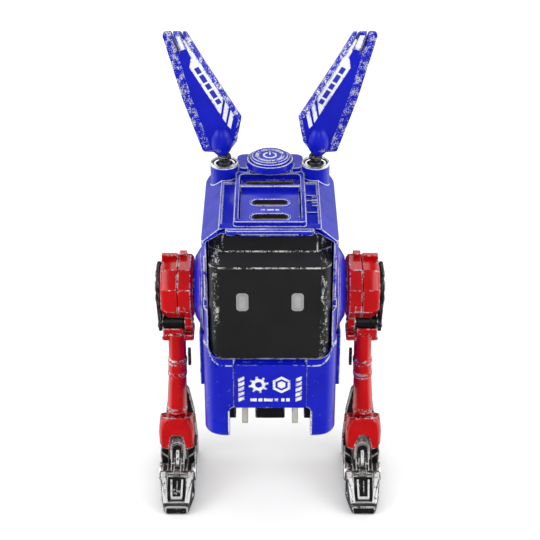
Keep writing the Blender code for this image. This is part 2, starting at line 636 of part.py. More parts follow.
def build_ear(name, side, root):
    pivot = (side * EAR_X, EAR_Y, BALL_Z)
    centre = pivot[:2]
    cup_body = Body(f"ear_cup_{name}", pivot, root)
    cup = [(0, CUP_BOTTOM), (CUP_RADIUS, CUP_BOTTOM), (CUP_RADIUS, CUP_TOP), (CUP_BORE, CUP_TOP),
           (CUP_BORE, CUP_BOTTOM + 0.5), (0, CUP_BOTTOM + 0.5)]
    cup_body.piece(f"ear_cup_{name}", "steel", shape(turned, cup, "Z", centre))

    ear_body = Body(f"ear_{name}", pivot, cup_body)
    arc = [(BALL_RADIUS * math.cos(turn), BALL_Z + BALL_RADIUS * math.sin(turn))
           for turn in [math.radians(angle) for angle in range(-70, 51, 20)]]
    stud = [(0, BALL_Z - BALL_RADIUS)] + arc + [(1.2, BALL_Z + 1.6), (1.5, 89.6), (0, 89.6)]
    ear_body.piece(f"ear_stud_{name}", "worn_black", shape(turned, stud, "Z", centre, 16))

    blade = shape(prism, mirrored(rounded(EAR_OUTLINE, 0.5, 1), side), "Y",
                  EAR_Y - EAR_THICKNESS / 2, EAR_Y + EAR_THICKNESS / 2)
    knob = bmesh.new()
    bmesh.ops.create_uvsphere(knob, u_segments=20, v_segments=12, radius=1.0)
    bmesh.ops.transform(knob, verts=knob.verts, matrix=Matrix.Diagonal((*KNOB_RADII, 1.0)))
    knob_x, knob_y, knob_z = KNOB_CENTRE
    bmesh.ops.translate(knob, verts=knob.verts, vec=(side * knob_x, knob_y, knob_z))
    ear_body.piece(f"ear_blade_{name}", "blue_paint", blade, joins=[knob], bevel=0.35)


# ---- legs -----------------------------------------------------------------------------------------

def reach_x(side, low, high):
    """A span along X that is given for the right side, on either side."""
    return sorted((side * low, side * high))


def drum_rings(side, spans):
    """Eight-sided rings with rounded corners, one for each (X, scale) pair."""
    corners = circle(0.0, 0.0, DRUM_RADIUS, 8)
    turn = math.radians(22.5)
    turned_corners = [(a * math.cos(turn) - b * math.sin(turn), a * math.sin(turn) + b * math.cos(turn))
                      for a, b in corners]
    outline = rounded(turned_corners, 2.2, 2)
    return [[(side * x, y * scale, HIP_Z + z * scale) for y, z in outline] for x, scale in spans]


def strap(centre_a, radius_a, centre_b, radius_b, steps=8):
    """Outline of a flat link with round ends; the first end is the upper one."""
    points = []
    for step in range(steps + 1):
        turn = math.pi * step / steps
        points.append((centre_a[0] + radius_a * math.cos(turn), centre_a[1] + radius_a * math.sin(turn)))
    for step in range(steps + 1):
        turn = math.pi + math.pi * step / steps
        points.append((centre_b[0] + radius_b * math.cos(turn), centre_b[1] + radius_b * math.sin(turn)))
    return points


def build_hip(name, side, root):
    hip = (0.0, HIP_Z)
    (foot_x, foot_radius), (face_x, face_radius) = HIP_BOSS
    bore = AXLE_RADIUS + GAP
    boss = [(bore, side * foot_x), (foot_radius, side * foot_x), (face_radius, side * face_x),
            (bore, side * face_x)]
    root.piece(f"hip_boss_{name}", "blue_paint", shape(turned, boss, "X", hip, 32))
    head = [(0, side * 12.6), (AXLE_HEAD_RADIUS, side * 12.6), (AXLE_HEAD_RADIUS, side * 14.6),
            (AXLE_RADIUS, side * 14.6), (AXLE_RADIUS, side * 27.0), (0, side * 27.0)]
    root.piece(f"hip_axle_{name}", "steel", shape(turned, head, "X", hip, 20))


def build_hub(name, side, hub):
    hip = (0.0, HIP_Z)
    bores = [shape(prism, circle(*hip, AXLE_RADIUS + GAP), "X", *reach_x(side, 18.0, 28.5))
             for _ in ("inner", "outer")]
    low, high = DRUM_INNER_X
    inner = shape(loft, drum_rings(side, ((low, 0.9), (low + 0.8, 1.0), (high - 0.4, 1.0), (high, 0.95))))
    lug = shape(prism, strap((KNEE[0], HIP_Z - 4), 3.2, KNEE, KNEE_RADIUS), "X", *reach_x(side, *LUG_X))
    pin_bore = circle(*KNEE, KNEE_PIN_RADIUS + GAP, 16)
    lug_bore = shape(prism, pin_bore, "X", *reach_x(side, 19.0, 22.5))
    hub.piece(f"drum_inner_{name}", "red_paint", inner, [bores[0], lug_bore], [lug])
    low, high = DRUM_OUTER_X
    outer = shape(loft, drum_rings(side, ((low, 0.95), (low + 0.4, 1.0), (high - 1.6, 1.0), (high, 0.86))))
    hub.piece(f"drum_outer_{name}", "red_paint", outer, [bores[1]])

    plate = shape(prism, strap(hip, CAP_RADIUS + 0.9, KNEE, KNEE_RADIUS, 10), "X",
                  *reach_x(side, *THIGH_PLATE_X))
    plate_cuts = [shape(prism, pin_bore, "X", *reach_x(side, 27.0, 29.0))]
    dome = [(0, side * 27.8), (CAP_RADIUS, side * 27.8), (CAP_RADIUS, side * 28.35),
            (CAP_RADIUS - 1.6, side * 28.75), (CAP_RADIUS - 3.2, side * CAP_OUTER_X), (0, side * CAP_OUTER_X)]
    cap = shape(turned, dome, "X", hip, 28)
    hub.piece(f"hub_cover_{name}", "black_plastic", plate, plate_cuts, [cap])
    pin = shape(prism, circle(*KNEE, KNEE_PIN_RADIUS, 16), "X", *reach_x(side, 19.4, 28.6))
    hub.piece(f"knee_pin_{name}", "steel", pin)


def build_shank(name, side, shank):
    plan = rounded(rectangle(*reach_x(side, *COLLAR_X), *COLLAR_Y), 0.5, 2)
    collar = shape(prism, plan, "Z", *COLLAR_Z)
    lip = shape(block, reach_x(side, *LIP_X), (COLLAR_Y[0] + 0.05, KNEE[0]), (COLLAR_Z[1] - 0.5, LIP_TOP))
    cradle = shape(prism, circle(*KNEE, KNEE_RADIUS + GAP, 24), "X", *reach_x(side, 18.5, 28.0))
    centre = (side * TUBE_CENTRE[0], TUBE_CENTRE[1])
    band_low, band_high = BAND_Z
    tube = [(0, TUBE_BOTTOM), (TUBE_RADIUS, TUBE_BOTTOM), (TUBE_RADIUS, band_low),
            (BAND_RADIUS, band_low + 0.2), (BAND_RADIUS, band_high - 0.2), (TUBE_RADIUS, band_high),
            (TUBE_RADIUS, TUBE_TOP), (0, TUBE_TOP)]
    shank.piece(f"shank_{name}", "red_paint", shape(turned, tube, "Z", centre, 24), [cradle], [collar, lip])

    barrel_x = [side * x for x in BARREL_X]
    barrel = [(KNEE_PIN_RADIUS + GAP, barrel_x[0]), (KNEE_RADIUS - 0.3, barrel_x[0]),
              (KNEE_RADIUS, barrel_x[0] + side * 0.3), (KNEE_RADIUS, barrel_x[1] - side * 0.3),
              (KNEE_RADIUS - 0.3, barrel_x[1]), (KNEE_PIN_RADIUS + GAP, barrel_x[1])]
    shank.piece(f"knee_barrel_{name}", "black_plastic", shape(turned, barrel, "X", KNEE, 20))

    link = rounded(rectangle(*LINK_Y, *LINK_Z), 0.7, 2)
    shank.piece(f"shank_link_{name}", "black_plastic", shape(prism, link, "X", *reach_x(side, *LINK_X)))


def build_hood(name, side, shank):
    low, high = HOOD_Z
    centre_y = ANKLE[0]
    sizes = ((low, 4.2, 4.5), (low + 1.4, 4.55, 4.9), (high - 3.6, 4.6, 5.0), (high - 1.2, 4.2, 4.6),
             (high, 3.2, 3.6))
    rings = []
    for z, half_x, half_y in sizes:
        plan = rounded(rectangle(side * ANKLE_X - half_x, side * ANKLE_X + half_x,
                                 centre_y - half_y, centre_y + half_y), 1.8, 3)
        rings.append([(x, y, z) for x, y in plan])
    across = (side * ANKLE_X - ARCH_HALF_WIDTH, side * ANKLE_X + ARCH_HALF_WIDTH)
    inner_front = centre_y - 3.8
    arch = rounded(rectangle(*across, low - OVERRUN, ARCH_TOP), 1.2, 3)
    cuts = [
        shape(block, across, (inner_front, centre_y + 6), (low - OVERRUN, ANKLE[1] + NECK_RADIUS + 0.5)),
        shape(prism, arch, "Y", centre_y - 6, inner_front + 1),
        shape(prism, circle(*ANKLE, ANKLE_PIN_RADIUS + GAP, 16), "X",
              side * ANKLE_X - 4.2, side * ANKLE_X + 4.2),
    ]
    shank.piece(f"ankle_hood_{name}", "red_paint", shape(loft, rings), cuts)
    pin = shape(prism, circle(*ANKLE, ANKLE_PIN_RADIUS, 16), "X", side * ANKLE_X - 3.9, side * ANKLE_X + 3.9)
    shank.piece(f"ankle_pin_{name}", "steel", pin)


def build_foot(name, side, foot):
    centre = side * ANKLE_X
    hinge_y, hinge_z = TOE_HINGE
    ankle_y, ankle_z = ANKLE
    sole_plan = [(centre - SOLE_HALF_WIDTH, -4.4), (centre + SOLE_HALF_WIDTH, -4.4),
                 (centre + SOLE_HALF_WIDTH, HEEL_Y[0] - GAP), (centre - SOLE_HALF_WIDTH, HEEL_Y[0] - GAP)]
    sole = shape(prism, rounded(sole_plan, 0.8, 2), "Z", 0.0, SOLE_THICKNESS)
    tongue = [(hinge_y + 2.5 * math.cos(turn), hinge_z + 2.5 * math.sin(turn))
              for turn in [math.radians(angle) for angle in (90, 120, 150, 180, 210, 240, 270)]]
    instep_outline = tongue + [(-4.2, 1.2), (5.8, 1.2), (5.8, 4.4), (1.6, 8.2), (-0.6, 11.6), (-4.6, 11.6)]
    instep = shape(prism, instep_outline, "X", centre - INSTEP_HALF_WIDTH, centre + INSTEP_HALF_WIDTH)
    neck_top = [(ankle_y + NECK_RADIUS * math.cos(turn), ankle_z + NECK_RADIUS * math.sin(turn))
                for turn in [math.radians(angle) for angle in range(0, 181, 30)]]
    neck = shape(prism, neck_top + [(-4.4, 10.0), (-0.8, 10.0)], "X",
                 centre - NECK_HALF_WIDTH, centre + NECK_HALF_WIDTH)
    cuts = [
        shape(prism, circle(*TOE_HINGE, TOE_PIN_RADIUS + GAP, 16), "X", centre - 3, centre + 3),
        shape(prism, circle(*ANKLE, ANKLE_PIN_RADIUS + GAP, 16), "X", centre - 3, centre + 3),
    ]
    foot.piece(f"foot_frame_{name}", "worn_black", sole, cuts, [instep, neck])

    heel = [(-4.6, 0.0), (4.6, 0.0), (4.6, 6.0), (3.85, 15.0), (2.6, 22.0), (1.8, HEEL_TOP),
            (-1.8, HEEL_TOP), (-2.6, 22.0), (-3.85, 15.0), (-4.6, 6.0)]
    heel_outline = [(centre + x, z) for x, z in heel]
    slot = rounded(rectangle(centre - 1.3, centre + 1.3, 12.0, 20.5), 1.2, 3)
    foot.piece(f"heel_plate_{name}", "worn_black", shape(prism, heel_outline, "Y", *HEEL_Y),
               [shape(prism, slot, "Y", HEEL_Y[0] - 1, HEEL_Y[1] + 1)])

    pin = [(0, centre - TOE_PIN_HALF_LENGTH), (TOE_PIN_HEAD_RADIUS, centre - TOE_PIN_HALF_LENGTH),
           (TOE_PIN_HEAD_RADIUS, centre - TOE_ARM_X[1] - GAP), (TOE_PIN_RADIUS, centre - TOE_ARM_X[1] - GAP),
           (TOE_PIN_RADIUS, centre + TOE_ARM_X[1] + GAP), (TOE_PIN_HEAD_RADIUS, centre + TOE_ARM_X[1] + GAP),
           (TOE_PIN_HEAD_RADIUS, centre + TOE_PIN_HALF_LENGTH), (0, centre + TOE_PIN_HALF_LENGTH)]
    foot.piece(f"toe_pin_{name}", "steel", shape(turned, pin, "X", TOE_HINGE, 16))


def build_toe(name, side, toe):
    centre = side * ANKLE_X
    hinge_y, hinge_z = TOE_HINGE
    wedge_back = hinge_y - 2.9
    sections = ((wedge_back, 4.5, 8.2), (-12.2, 4.3, 7.4), (TOE_TIP + 0.8, 3.3, 3.4), (TOE_TIP, 2.9, 2.4))
    rings = []
    for y, half_x, top in sections:
        section = rounded(rectangle(centre - half_x, centre + half_x, 0.0, top), 0.7, 2)
        rings.append([(x, y, z) for x, z in section])
    joins = []
    for low, high in ((-TOE_ARM_X[1], -TOE_ARM_X[0]), TOE_ARM_X):
        arm = [(wedge_back - 1, hinge_z - 2.2), (hinge_y, hinge_z - 2.2)]
        arm += [(hinge_y + 2.2 * math.cos(turn), hinge_z + 2.2 * math.sin(turn))
                for turn in [math.radians(angle) for angle in (-60, -30, 0, 30, 60)]]
        arm += [(hinge_y, hinge_z + 2.2), (wedge_back - 1, hinge_z + 2.0)]
        joins.append(shape(prism, arm, "X", centre + low, centre + high))
    cuts = [shape(prism, circle(*TOE_HINGE, TOE_PIN_RADIUS + GAP, 16), "X", centre - 5, centre + 5)]
    toe.piece(f"toe_{name}", "worn_black", shape(loft, rings), cuts, joins)


def build_leg(name, side, root):
    build_hip(name, side, root)
    hub = Body(f"hub_{name}", (side * 24.0, 0.0, HIP_Z), root)
    build_hub(name, side, hub)
    shank = Body(f"shank_{name}", (side * 24.0, *KNEE), hub)
    build_shank(name, side, shank)
    build_hood(name, side, shank)
    foot = Body(f"foot_{name}", (side * ANKLE_X, *ANKLE), shank)
    build_foot(name, side, foot)
    toe = Body(f"toe_{name}", (side * ANKLE_X, *TOE_HINGE), foot)
    build_toe(name, side, toe)


def build():
    clear_scene()
    root = Body("root", (0.0, 0.0, 0.0))
    build_housing(root)
    build_front_plate(root)
    build_top_cover(root)
    build_port_panel(root)
    build_ports(root)
    build_visor(root)
    build_base(root)
    build_electronics(root)
    build_blades(Body("plug_blades", (0.0, *BLADE_PIVOT), root))
    build_button(Body("power_button", (0.0, BUTTON_Y, BUTTON_TOP), root))
    for name, side in SIDES:
        build_ear(name, side, root)
        build_leg(name, side, root)


build()
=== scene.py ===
"""The looks of the posable robot USB charger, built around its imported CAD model.

Lengths in this script are millimetres in the CAD's own frame (front is -Y, up is +Z), and are scaled to
metres when a mesh is stored. Most sizes are read from the CAD nodes' boxes.
"""
import math

import bmesh
import bpy
from mathutils import Matrix, Vector


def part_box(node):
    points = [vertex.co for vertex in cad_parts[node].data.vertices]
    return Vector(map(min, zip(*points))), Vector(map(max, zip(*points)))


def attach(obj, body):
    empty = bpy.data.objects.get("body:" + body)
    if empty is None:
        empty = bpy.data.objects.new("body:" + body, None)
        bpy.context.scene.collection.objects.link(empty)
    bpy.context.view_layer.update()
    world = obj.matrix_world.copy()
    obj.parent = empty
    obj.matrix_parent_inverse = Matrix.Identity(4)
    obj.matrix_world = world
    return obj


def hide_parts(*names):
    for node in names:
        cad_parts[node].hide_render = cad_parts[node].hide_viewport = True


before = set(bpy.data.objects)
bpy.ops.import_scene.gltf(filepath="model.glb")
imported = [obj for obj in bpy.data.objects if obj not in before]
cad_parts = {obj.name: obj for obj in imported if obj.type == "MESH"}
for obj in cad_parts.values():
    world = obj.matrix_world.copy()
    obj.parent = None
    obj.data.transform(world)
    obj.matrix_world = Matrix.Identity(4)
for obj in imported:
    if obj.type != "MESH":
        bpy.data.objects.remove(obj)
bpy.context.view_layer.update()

MM = 0.001
SIDES = (("left", -1), ("right", 1))
SEAM = 0.12                     # gap that shows as a fine dark line between fitted pieces
EDGE = 0.24                     # usual width of a worn, bevelled edge
WELD = 1e-5                     # corners nearer than this are one corner (in metres)
LEVEL = 0.99                    # a face counts as level where its normal is at least this upright
CAMERA_DISTANCE = 330.0
CAMERA_ELEVATION = 30.5         # degrees
CAMERA_LENS = 88.0
AIM_HEIGHT = 64.0               # the camera and the lamps point at this height on the robot


def span(node):
    """Lowest and highest corner of a CAD node, in millimetres."""
    low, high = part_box(node)
    return low / MM, high / MM


def middle(node):
    """Centre of a CAD node's box, in millimetres."""
    return [(low + high) / 2 for low, high in zip(*span(node))]


SHELL_LOW, SHELL_HIGH = span("housing")
COVER_LOW, COVER_HIGH = span("top_cover")
VISOR_LOW, VISOR_HIGH = span("visor")
PLATE_LOW, PLATE_HIGH = span("front_plate")
PANEL_LOW, PANEL_HIGH = span("port_panel")
BUTTON_LOW, BUTTON_HIGH = span("power_button")
BODY_HALF = COVER_HIGH.x
BUMPER_HALF = BODY_HALF + 0.3
BODY_FRONT = VISOR_LOW.y
BODY_BACK = SHELL_HIGH.y
BUMPER_FRONT = SHELL_LOW.y
SHOULDER = COVER_LOW.z
WALL = 1.2
WINDOW_BOTTOM = VISOR_LOW.z - 0.3
WINDOW_CORNER = 3.5
FRAME_HALF = PANEL_HIGH.x + 1.3
FRAME_FRONT = PANEL_LOW.y - 1.3
TOP_LEVEL = 85.0
FRAME_TOP = PANEL_HIGH.z
DECK_TOP = 87.5
BUTTON_Y = middle("power_button")[1]
BUTTON_RADIUS = BUTTON_HIGH.x
RIB_Z = (31.5, 47.6)            # the rib on each side of the shell, under the hip
RIB_FACE = 18.0
USB_C_ROWS = (("front", -11.2), ("rear", -3.9))
BADGE_X, BADGE_Z = 2.85, 41.75  # centre of the hexagon; the gear is on the other side
HIP_Z = middle("hip_axle_right")[2]
HIP = (0.0, HIP_Z)              # Y and Z of the hip axle


# ---- outlines ----

def rounded(corners, radius, steps=7):
    """Round each corner of a closed outline with an arc; radius may be a list, one for each corner."""
    points = []
    count = len(corners)
    radii = radius if isinstance(radius, (list, tuple)) else [radius] * count
    for index in range(count):
        corner = Vector(corners[index])
        if radii[index] == 0:
            points.append(tuple(corner))
            continue
        before = (Vector(corners[index - 1]) - corner).normalized()
        after = (Vector(corners[(index + 1) % count]) - corner).normalized()
        opening = before.angle(after)
        centre = corner + (before + after).normalized() * radii[index] / math.sin(opening / 2)
        reach = radii[index] / math.tan(opening / 2)
        start = corner + before * reach - centre
        end = corner + after * reach - centre
        sweep = math.pi - opening
        for step in range(steps + 1):
            share = step / steps
            arm = start * math.sin((1 - share) * sweep) + end * math.sin(share * sweep)
            points.append(tuple(centre + arm / math.sin(sweep)))
    return points


def rectangle(low_a, high_a, low_b, high_b):
    return [(low_a, low_b), (high_a, low_b), (high_a, high_b), (low_a, high_b)]


def oblong(low_a, high_a, low_b, high_b, radius, steps=7):
    return rounded(rectangle(low_a, high_a, low_b, high_b), radius, steps)


def ring_points(centre_a, centre_b, radius, steps=48, turn=0.0):
    turns = [turn + 2 * math.pi * index / steps for index in range(steps)]
    return [(centre_a + radius * math.cos(t), centre_b + radius * math.sin(t)) for t in turns]


def arc_points(centre_a, centre_b, radius, start, end, steps=8):
    """Points along an arc, with its start and end in degrees."""
    turns = [math.radians(start + (end - start) * index / steps) for index in range(steps + 1)]
    return [(centre_a + radius * math.cos(t), centre_b + radius * math.sin(t)) for t in turns]


def mirrored(outline, side):
    return [(side * first, second) for first, second in outline]


def shrunk(outline, margins):
    """Move each edge of a convex outline inwards by its own margin; edge i leaves corner i."""
    count = len(outline)
    centre = sum((Vector(p) for p in outline), Vector((0, 0))) / count
    lines = []
    for index in range(count):
        start = Vector(outline[index])
        along = (Vector(outline[(index + 1) % count]) - start).normalized()
        inward = Vector((-along.y, along.x))
        if inward.dot(centre - start) < 0:
            inward = -inward
        lines.append((start + inward * margins[index], along))
    corners = []
    for index in range(count):
        (point_a, along_a), (point_b, along_b) = lines[index - 1], lines[index]
        cross = along_a.x * along_b.y - along_a.y * along_b.x
        offset = point_b - point_a
        reach = (offset.x * along_b.y - offset.y * along_b.x) / cross
        corners.append(tuple(point_a + along_a * reach))
    return corners


# ---- solids ----

PLANES = {"X": (1, 2, 0), "Y": (0, 2, 1), "Z": (0, 1, 2)}


def place(axis, first, second, along):
    """A point given by its two coordinates in the plane across an axis, and its place along it."""
    point = [0.0, 0.0, 0.0]
    plane = PLANES[axis]
    point[plane[0]] = first
    point[plane[1]] = second
    point[plane[2]] = along
    return point


def outward(mesh):
    """Make every face of a closed mesh look outwards."""
    bmesh.ops.recalc_face_normals(mesh, faces=mesh.faces)
    return mesh


def loft(rings):
    """Skin a row of rings with equal counts of points, and close both ends."""
    mesh = bmesh.new()
    rows = [[mesh.verts.new(point) for point in ring] for ring in rings]
    count = len(rows[0])
    for lower, upper in zip(rows, rows[1:]):
        for index in range(count):
            following = (index + 1) % count
            mesh.faces.new((lower[index], lower[following], upper[following], upper[index]))
    mesh.faces.new(list(reversed(rows[0])))
    mesh.faces.new(rows[-1])
    return outward(mesh)


def prism(outline, axis, low, high):
    return loft([[place(axis, a, b, along) for a, b in outline] for along in (low, high)])


def block(x, y, z):
    return prism(rectangle(*x, *y), "Z", *z)


def reach_x(side, low, high):
    """A span along X that is given for the right side, on either side."""
    return sorted((side * low, side * high))


def side_prism(outline, side, low, high):
    """A prism along X whose span is given for the right side."""
    return prism(outline, "X", *reach_x(side, low, high))


def turned(profile, axis, centre, steps=56):
    """Turn a profile of (radius, place along the axis); it closes at its poles, or on itself as a ring."""
    mesh = bmesh.new()
    rows = []
    for radius, along in profile:
        if radius == 0:
            rows.append([mesh.verts.new(place(axis, *centre, along))])
        else:
            outline = ring_points(*centre, radius, steps)
            rows.append([mesh.verts.new(place(axis, a, b, along)) for a, b in outline])
    pairs = list(zip(rows, rows[1:]))
    if profile[0][0] != 0:
        pairs.append((rows[-1], rows[0]))
    for lower, upper in pairs:
        for index in range(steps):
            following = (index + 1) % steps
            corners = [lower[index % len(lower)], lower[following % len(lower)],
                       upper[following % len(upper)], upper[index % len(upper)]]
            mesh.faces.new(list(dict.fromkeys(corners)))
    return outward(mesh)


def side_turned(profile, side, centre):
    """A profile turned about an axis along X, given for the right side."""
    return turned([(radius, side * x) for radius, x in profile], "X", centre)


def beam(start, end, half_width, half_height):
    """A straight bar between two points, level across X."""
    start, end = Vector(start), Vector(end)
    along = (end - start).normalized()
    across = Vector((1, 0, 0))
    across = (across - along * across.dot(along)).normalized()
    wide, tall = across * half_width, along.cross(across) * half_height
    rings = []
    for point in (start, end):
        rings.append([point - wide - tall, point + wide - tall, point + wide + tall, point - wide + tall])
    return loft(rings)


def egg(centre, radii):
    mesh = bmesh.new()
    bmesh.ops.create_uvsphere(mesh, u_segments=36, v_segments=24, radius=1.0)
    bmesh.ops.transform(mesh, verts=mesh.verts, matrix=Matrix.Diagonal((*radii, 1.0)))
    bmesh.ops.translate(mesh, verts=mesh.verts, vec=centre)
    return outward(mesh)


def store(name, mesh):
    bmesh.ops.transform(mesh, verts=mesh.verts, matrix=Matrix.Scale(MM, 4))
    data = bpy.data.meshes.new(name)
    mesh.to_mesh(data)
    mesh.free()
    made = bpy.data.objects.new(name, data)
    bpy.context.scene.collection.objects.link(made)
    return made


def combine(made, operations, split=False):
    """Apply (operation, solids) pairs to an object's mesh in turn.

    split also divides the level faces that have more than four corners into triangles.
    """
    tools = []
    for operation, solids in operations:
        for solid in solids:
            tool = store(made.name + "_tool", solid)
            tools.append(tool)
            step = made.modifiers.new("step", "BOOLEAN")
            step.operation = operation
            step.object = tool
            step.solver = "EXACT"
    if not tools:
        return
    graph = bpy.context.evaluated_depsgraph_get()
    data = bpy.data.meshes.new_from_object(made.evaluated_get(graph))
    made.modifiers.clear()
    made.data = data
    for tool in tools:
        bpy.data.objects.remove(tool, do_unlink=True)
    mesh = bmesh.new()
    mesh.from_mesh(data)
    bmesh.ops.remove_doubles(mesh, verts=mesh.verts, dist=WELD)
    bmesh.ops.dissolve_degenerate(mesh, edges=mesh.edges, dist=WELD)
    if split:
        mesh.normal_update()
        level = [face for face in mesh.faces if len(face.verts) > 4 and abs(face.normal.z) > LEVEL]
        bmesh.ops.triangulate(mesh, faces=level)
    mesh.to_mesh(data)
    mesh.free()


def wear(made, look, bevel, angle, clamp):
    """Give an object a look, and bevel its edges with the look's second, worn material."""
    made.data.materials.clear()
    for material in LOOKS[look]:
        made.data.materials.append(material)
    if not bevel:
        return
    round_off = made.modifiers.new("worn_edge", "BEVEL")
    round_off.width = bevel * MM
    round_off.segments = 2
    round_off.limit_method = "ANGLE"
    round_off.angle_limit = math.radians(angle)
    round_off.use_clamp_overlap = clamp
    round_off.harden_normals = True
    round_off.material = 1


def piece(name, body, look, mesh, cuts=(), joins=(), keeps=(), bevel=EDGE, angle=32, hides=(),
          split=False):
    """Make a visible piece that rides on a body: joined, cut, trimmed, then bevelled with worn edges."""
    made = store(name, mesh)
    combine(made, (("UNION", joins), ("DIFFERENCE", cuts), ("INTERSECT", keeps)), split)
    made.data.shade_smooth()
    made.data.set_sharp_from_angle(angle=math.radians(angle))
    wear(made, look, bevel, angle, clamp=False)
    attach(made, body)
    if hides:
        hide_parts(*hides)
    return made


def printed(name, body, outline, axis, span_along, cuts=(), look="print"):
    """A thin mark printed on a face; its span reaches just past that face."""
    piece(name, body, look, prism(outline, axis, *span_along), cuts, bevel=0)


# ---- materials ----

class Graph:
    """A short way to build the node tree of a material or of the world."""

    def __init__(self, tree):
        self.tree = tree

    def add(self, kind, **settings):
        node = self.tree.nodes.new(kind)
        for key, value in settings.items():
            setattr(node, key, value)
        return node

    def link(self, source, target):
        self.tree.links.new(source, target)

    def math(self, operation, first, second):
        node = self.add("ShaderNodeMath", operation=operation)
        for socket, value in zip(node.inputs, (first, second)):
            if isinstance(value, (int, float)):
                socket.default_value = value
            else:
                self.link(value, socket)
        return node.outputs[0]

    def remap(self, value, low, high, to_low=0.0, to_high=1.0):
        node = self.add("ShaderNodeMapRange", interpolation_type="SMOOTHSTEP")
        node.inputs["From Min"].default_value = low
        node.inputs["From Max"].default_value = high
        node.inputs["To Min"].default_value = to_low
        node.inputs["To Max"].default_value = to_high
        self.link(value, node.inputs["Value"])
        return node.outputs["Result"]


class Nodes(Graph):
    """A material's node tree, with its shader and the place on the object."""

    def __init__(self, name):
        self.material = bpy.data.materials.new(name)
        self.material.use_nodes = True
        super().__init__(self.material.node_tree)
        self.shader = self.tree.nodes["Principled BSDF"]
        self.place = self.add("ShaderNodeTexCoord").outputs["Object"]

    def noise(self, scale, detail=4.0, roughness=0.6, stretch=None):
        node = self.add("ShaderNodeTexNoise")
        node.inputs["Scale"].default_value = scale
        node.inputs["Detail"].default_value = detail
        node.inputs["Roughness"].default_value = roughness
        source = self.place
        if stretch:
            mapping = self.add("ShaderNodeMapping")
            mapping.inputs["Scale"].default_value = stretch
            self.link(source, mapping.inputs["Vector"])
            source = mapping.outputs["Vector"]
        self.link(source, node.inputs["Vector"])
        return node.outputs["Fac"]

    def blend(self, factor, first, second):
        node = self.add("ShaderNodeMix", data_type="RGBA")
        self.link(factor, node.inputs["Factor"])
        for socket, value in ((node.inputs["A"], first), (node.inputs["B"], second)):
            if isinstance(value, tuple):
                socket.default_value = (*value, 1.0)
            else:
                self.link(value, socket)
        return node.outputs["Result"]

    def edge_nearness(self, radius):
        """0 on open flats, rising to 1 where the surface turns within the given radius.

        The turn is measured by the cosine between the surface's own normal and a rounded one.
        """
        bevel = self.add("ShaderNodeBevel", samples=6)
        bevel.inputs["Radius"].default_value = radius * MM
        true_normal = self.add("ShaderNodeNewGeometry").outputs["True Normal"]
        dot = self.add("ShaderNodeVectorMath", operation="DOT_PRODUCT")
        self.link(bevel.outputs["Normal"], dot.inputs[0])
        self.link(true_normal, dot.inputs[1])
        return self.remap(dot.outputs["Value"], 0.965, 0.80)

    def bump(self, height, strength, distance):
        node = self.add("ShaderNodeBump")
        node.inputs["Strength"].default_value = strength
        node.inputs["Distance"].default_value = distance * MM
        self.link(height, node.inputs["Height"])
        self.link(node.outputs["Normal"], self.shader.inputs["Normal"])


CHIP_EDGE = 0.025               # how softly the bare spots begin
DEEP = 0.82                     # the darker tone of a paint
DULL = 0.62                     # the darker tone of what lies bare


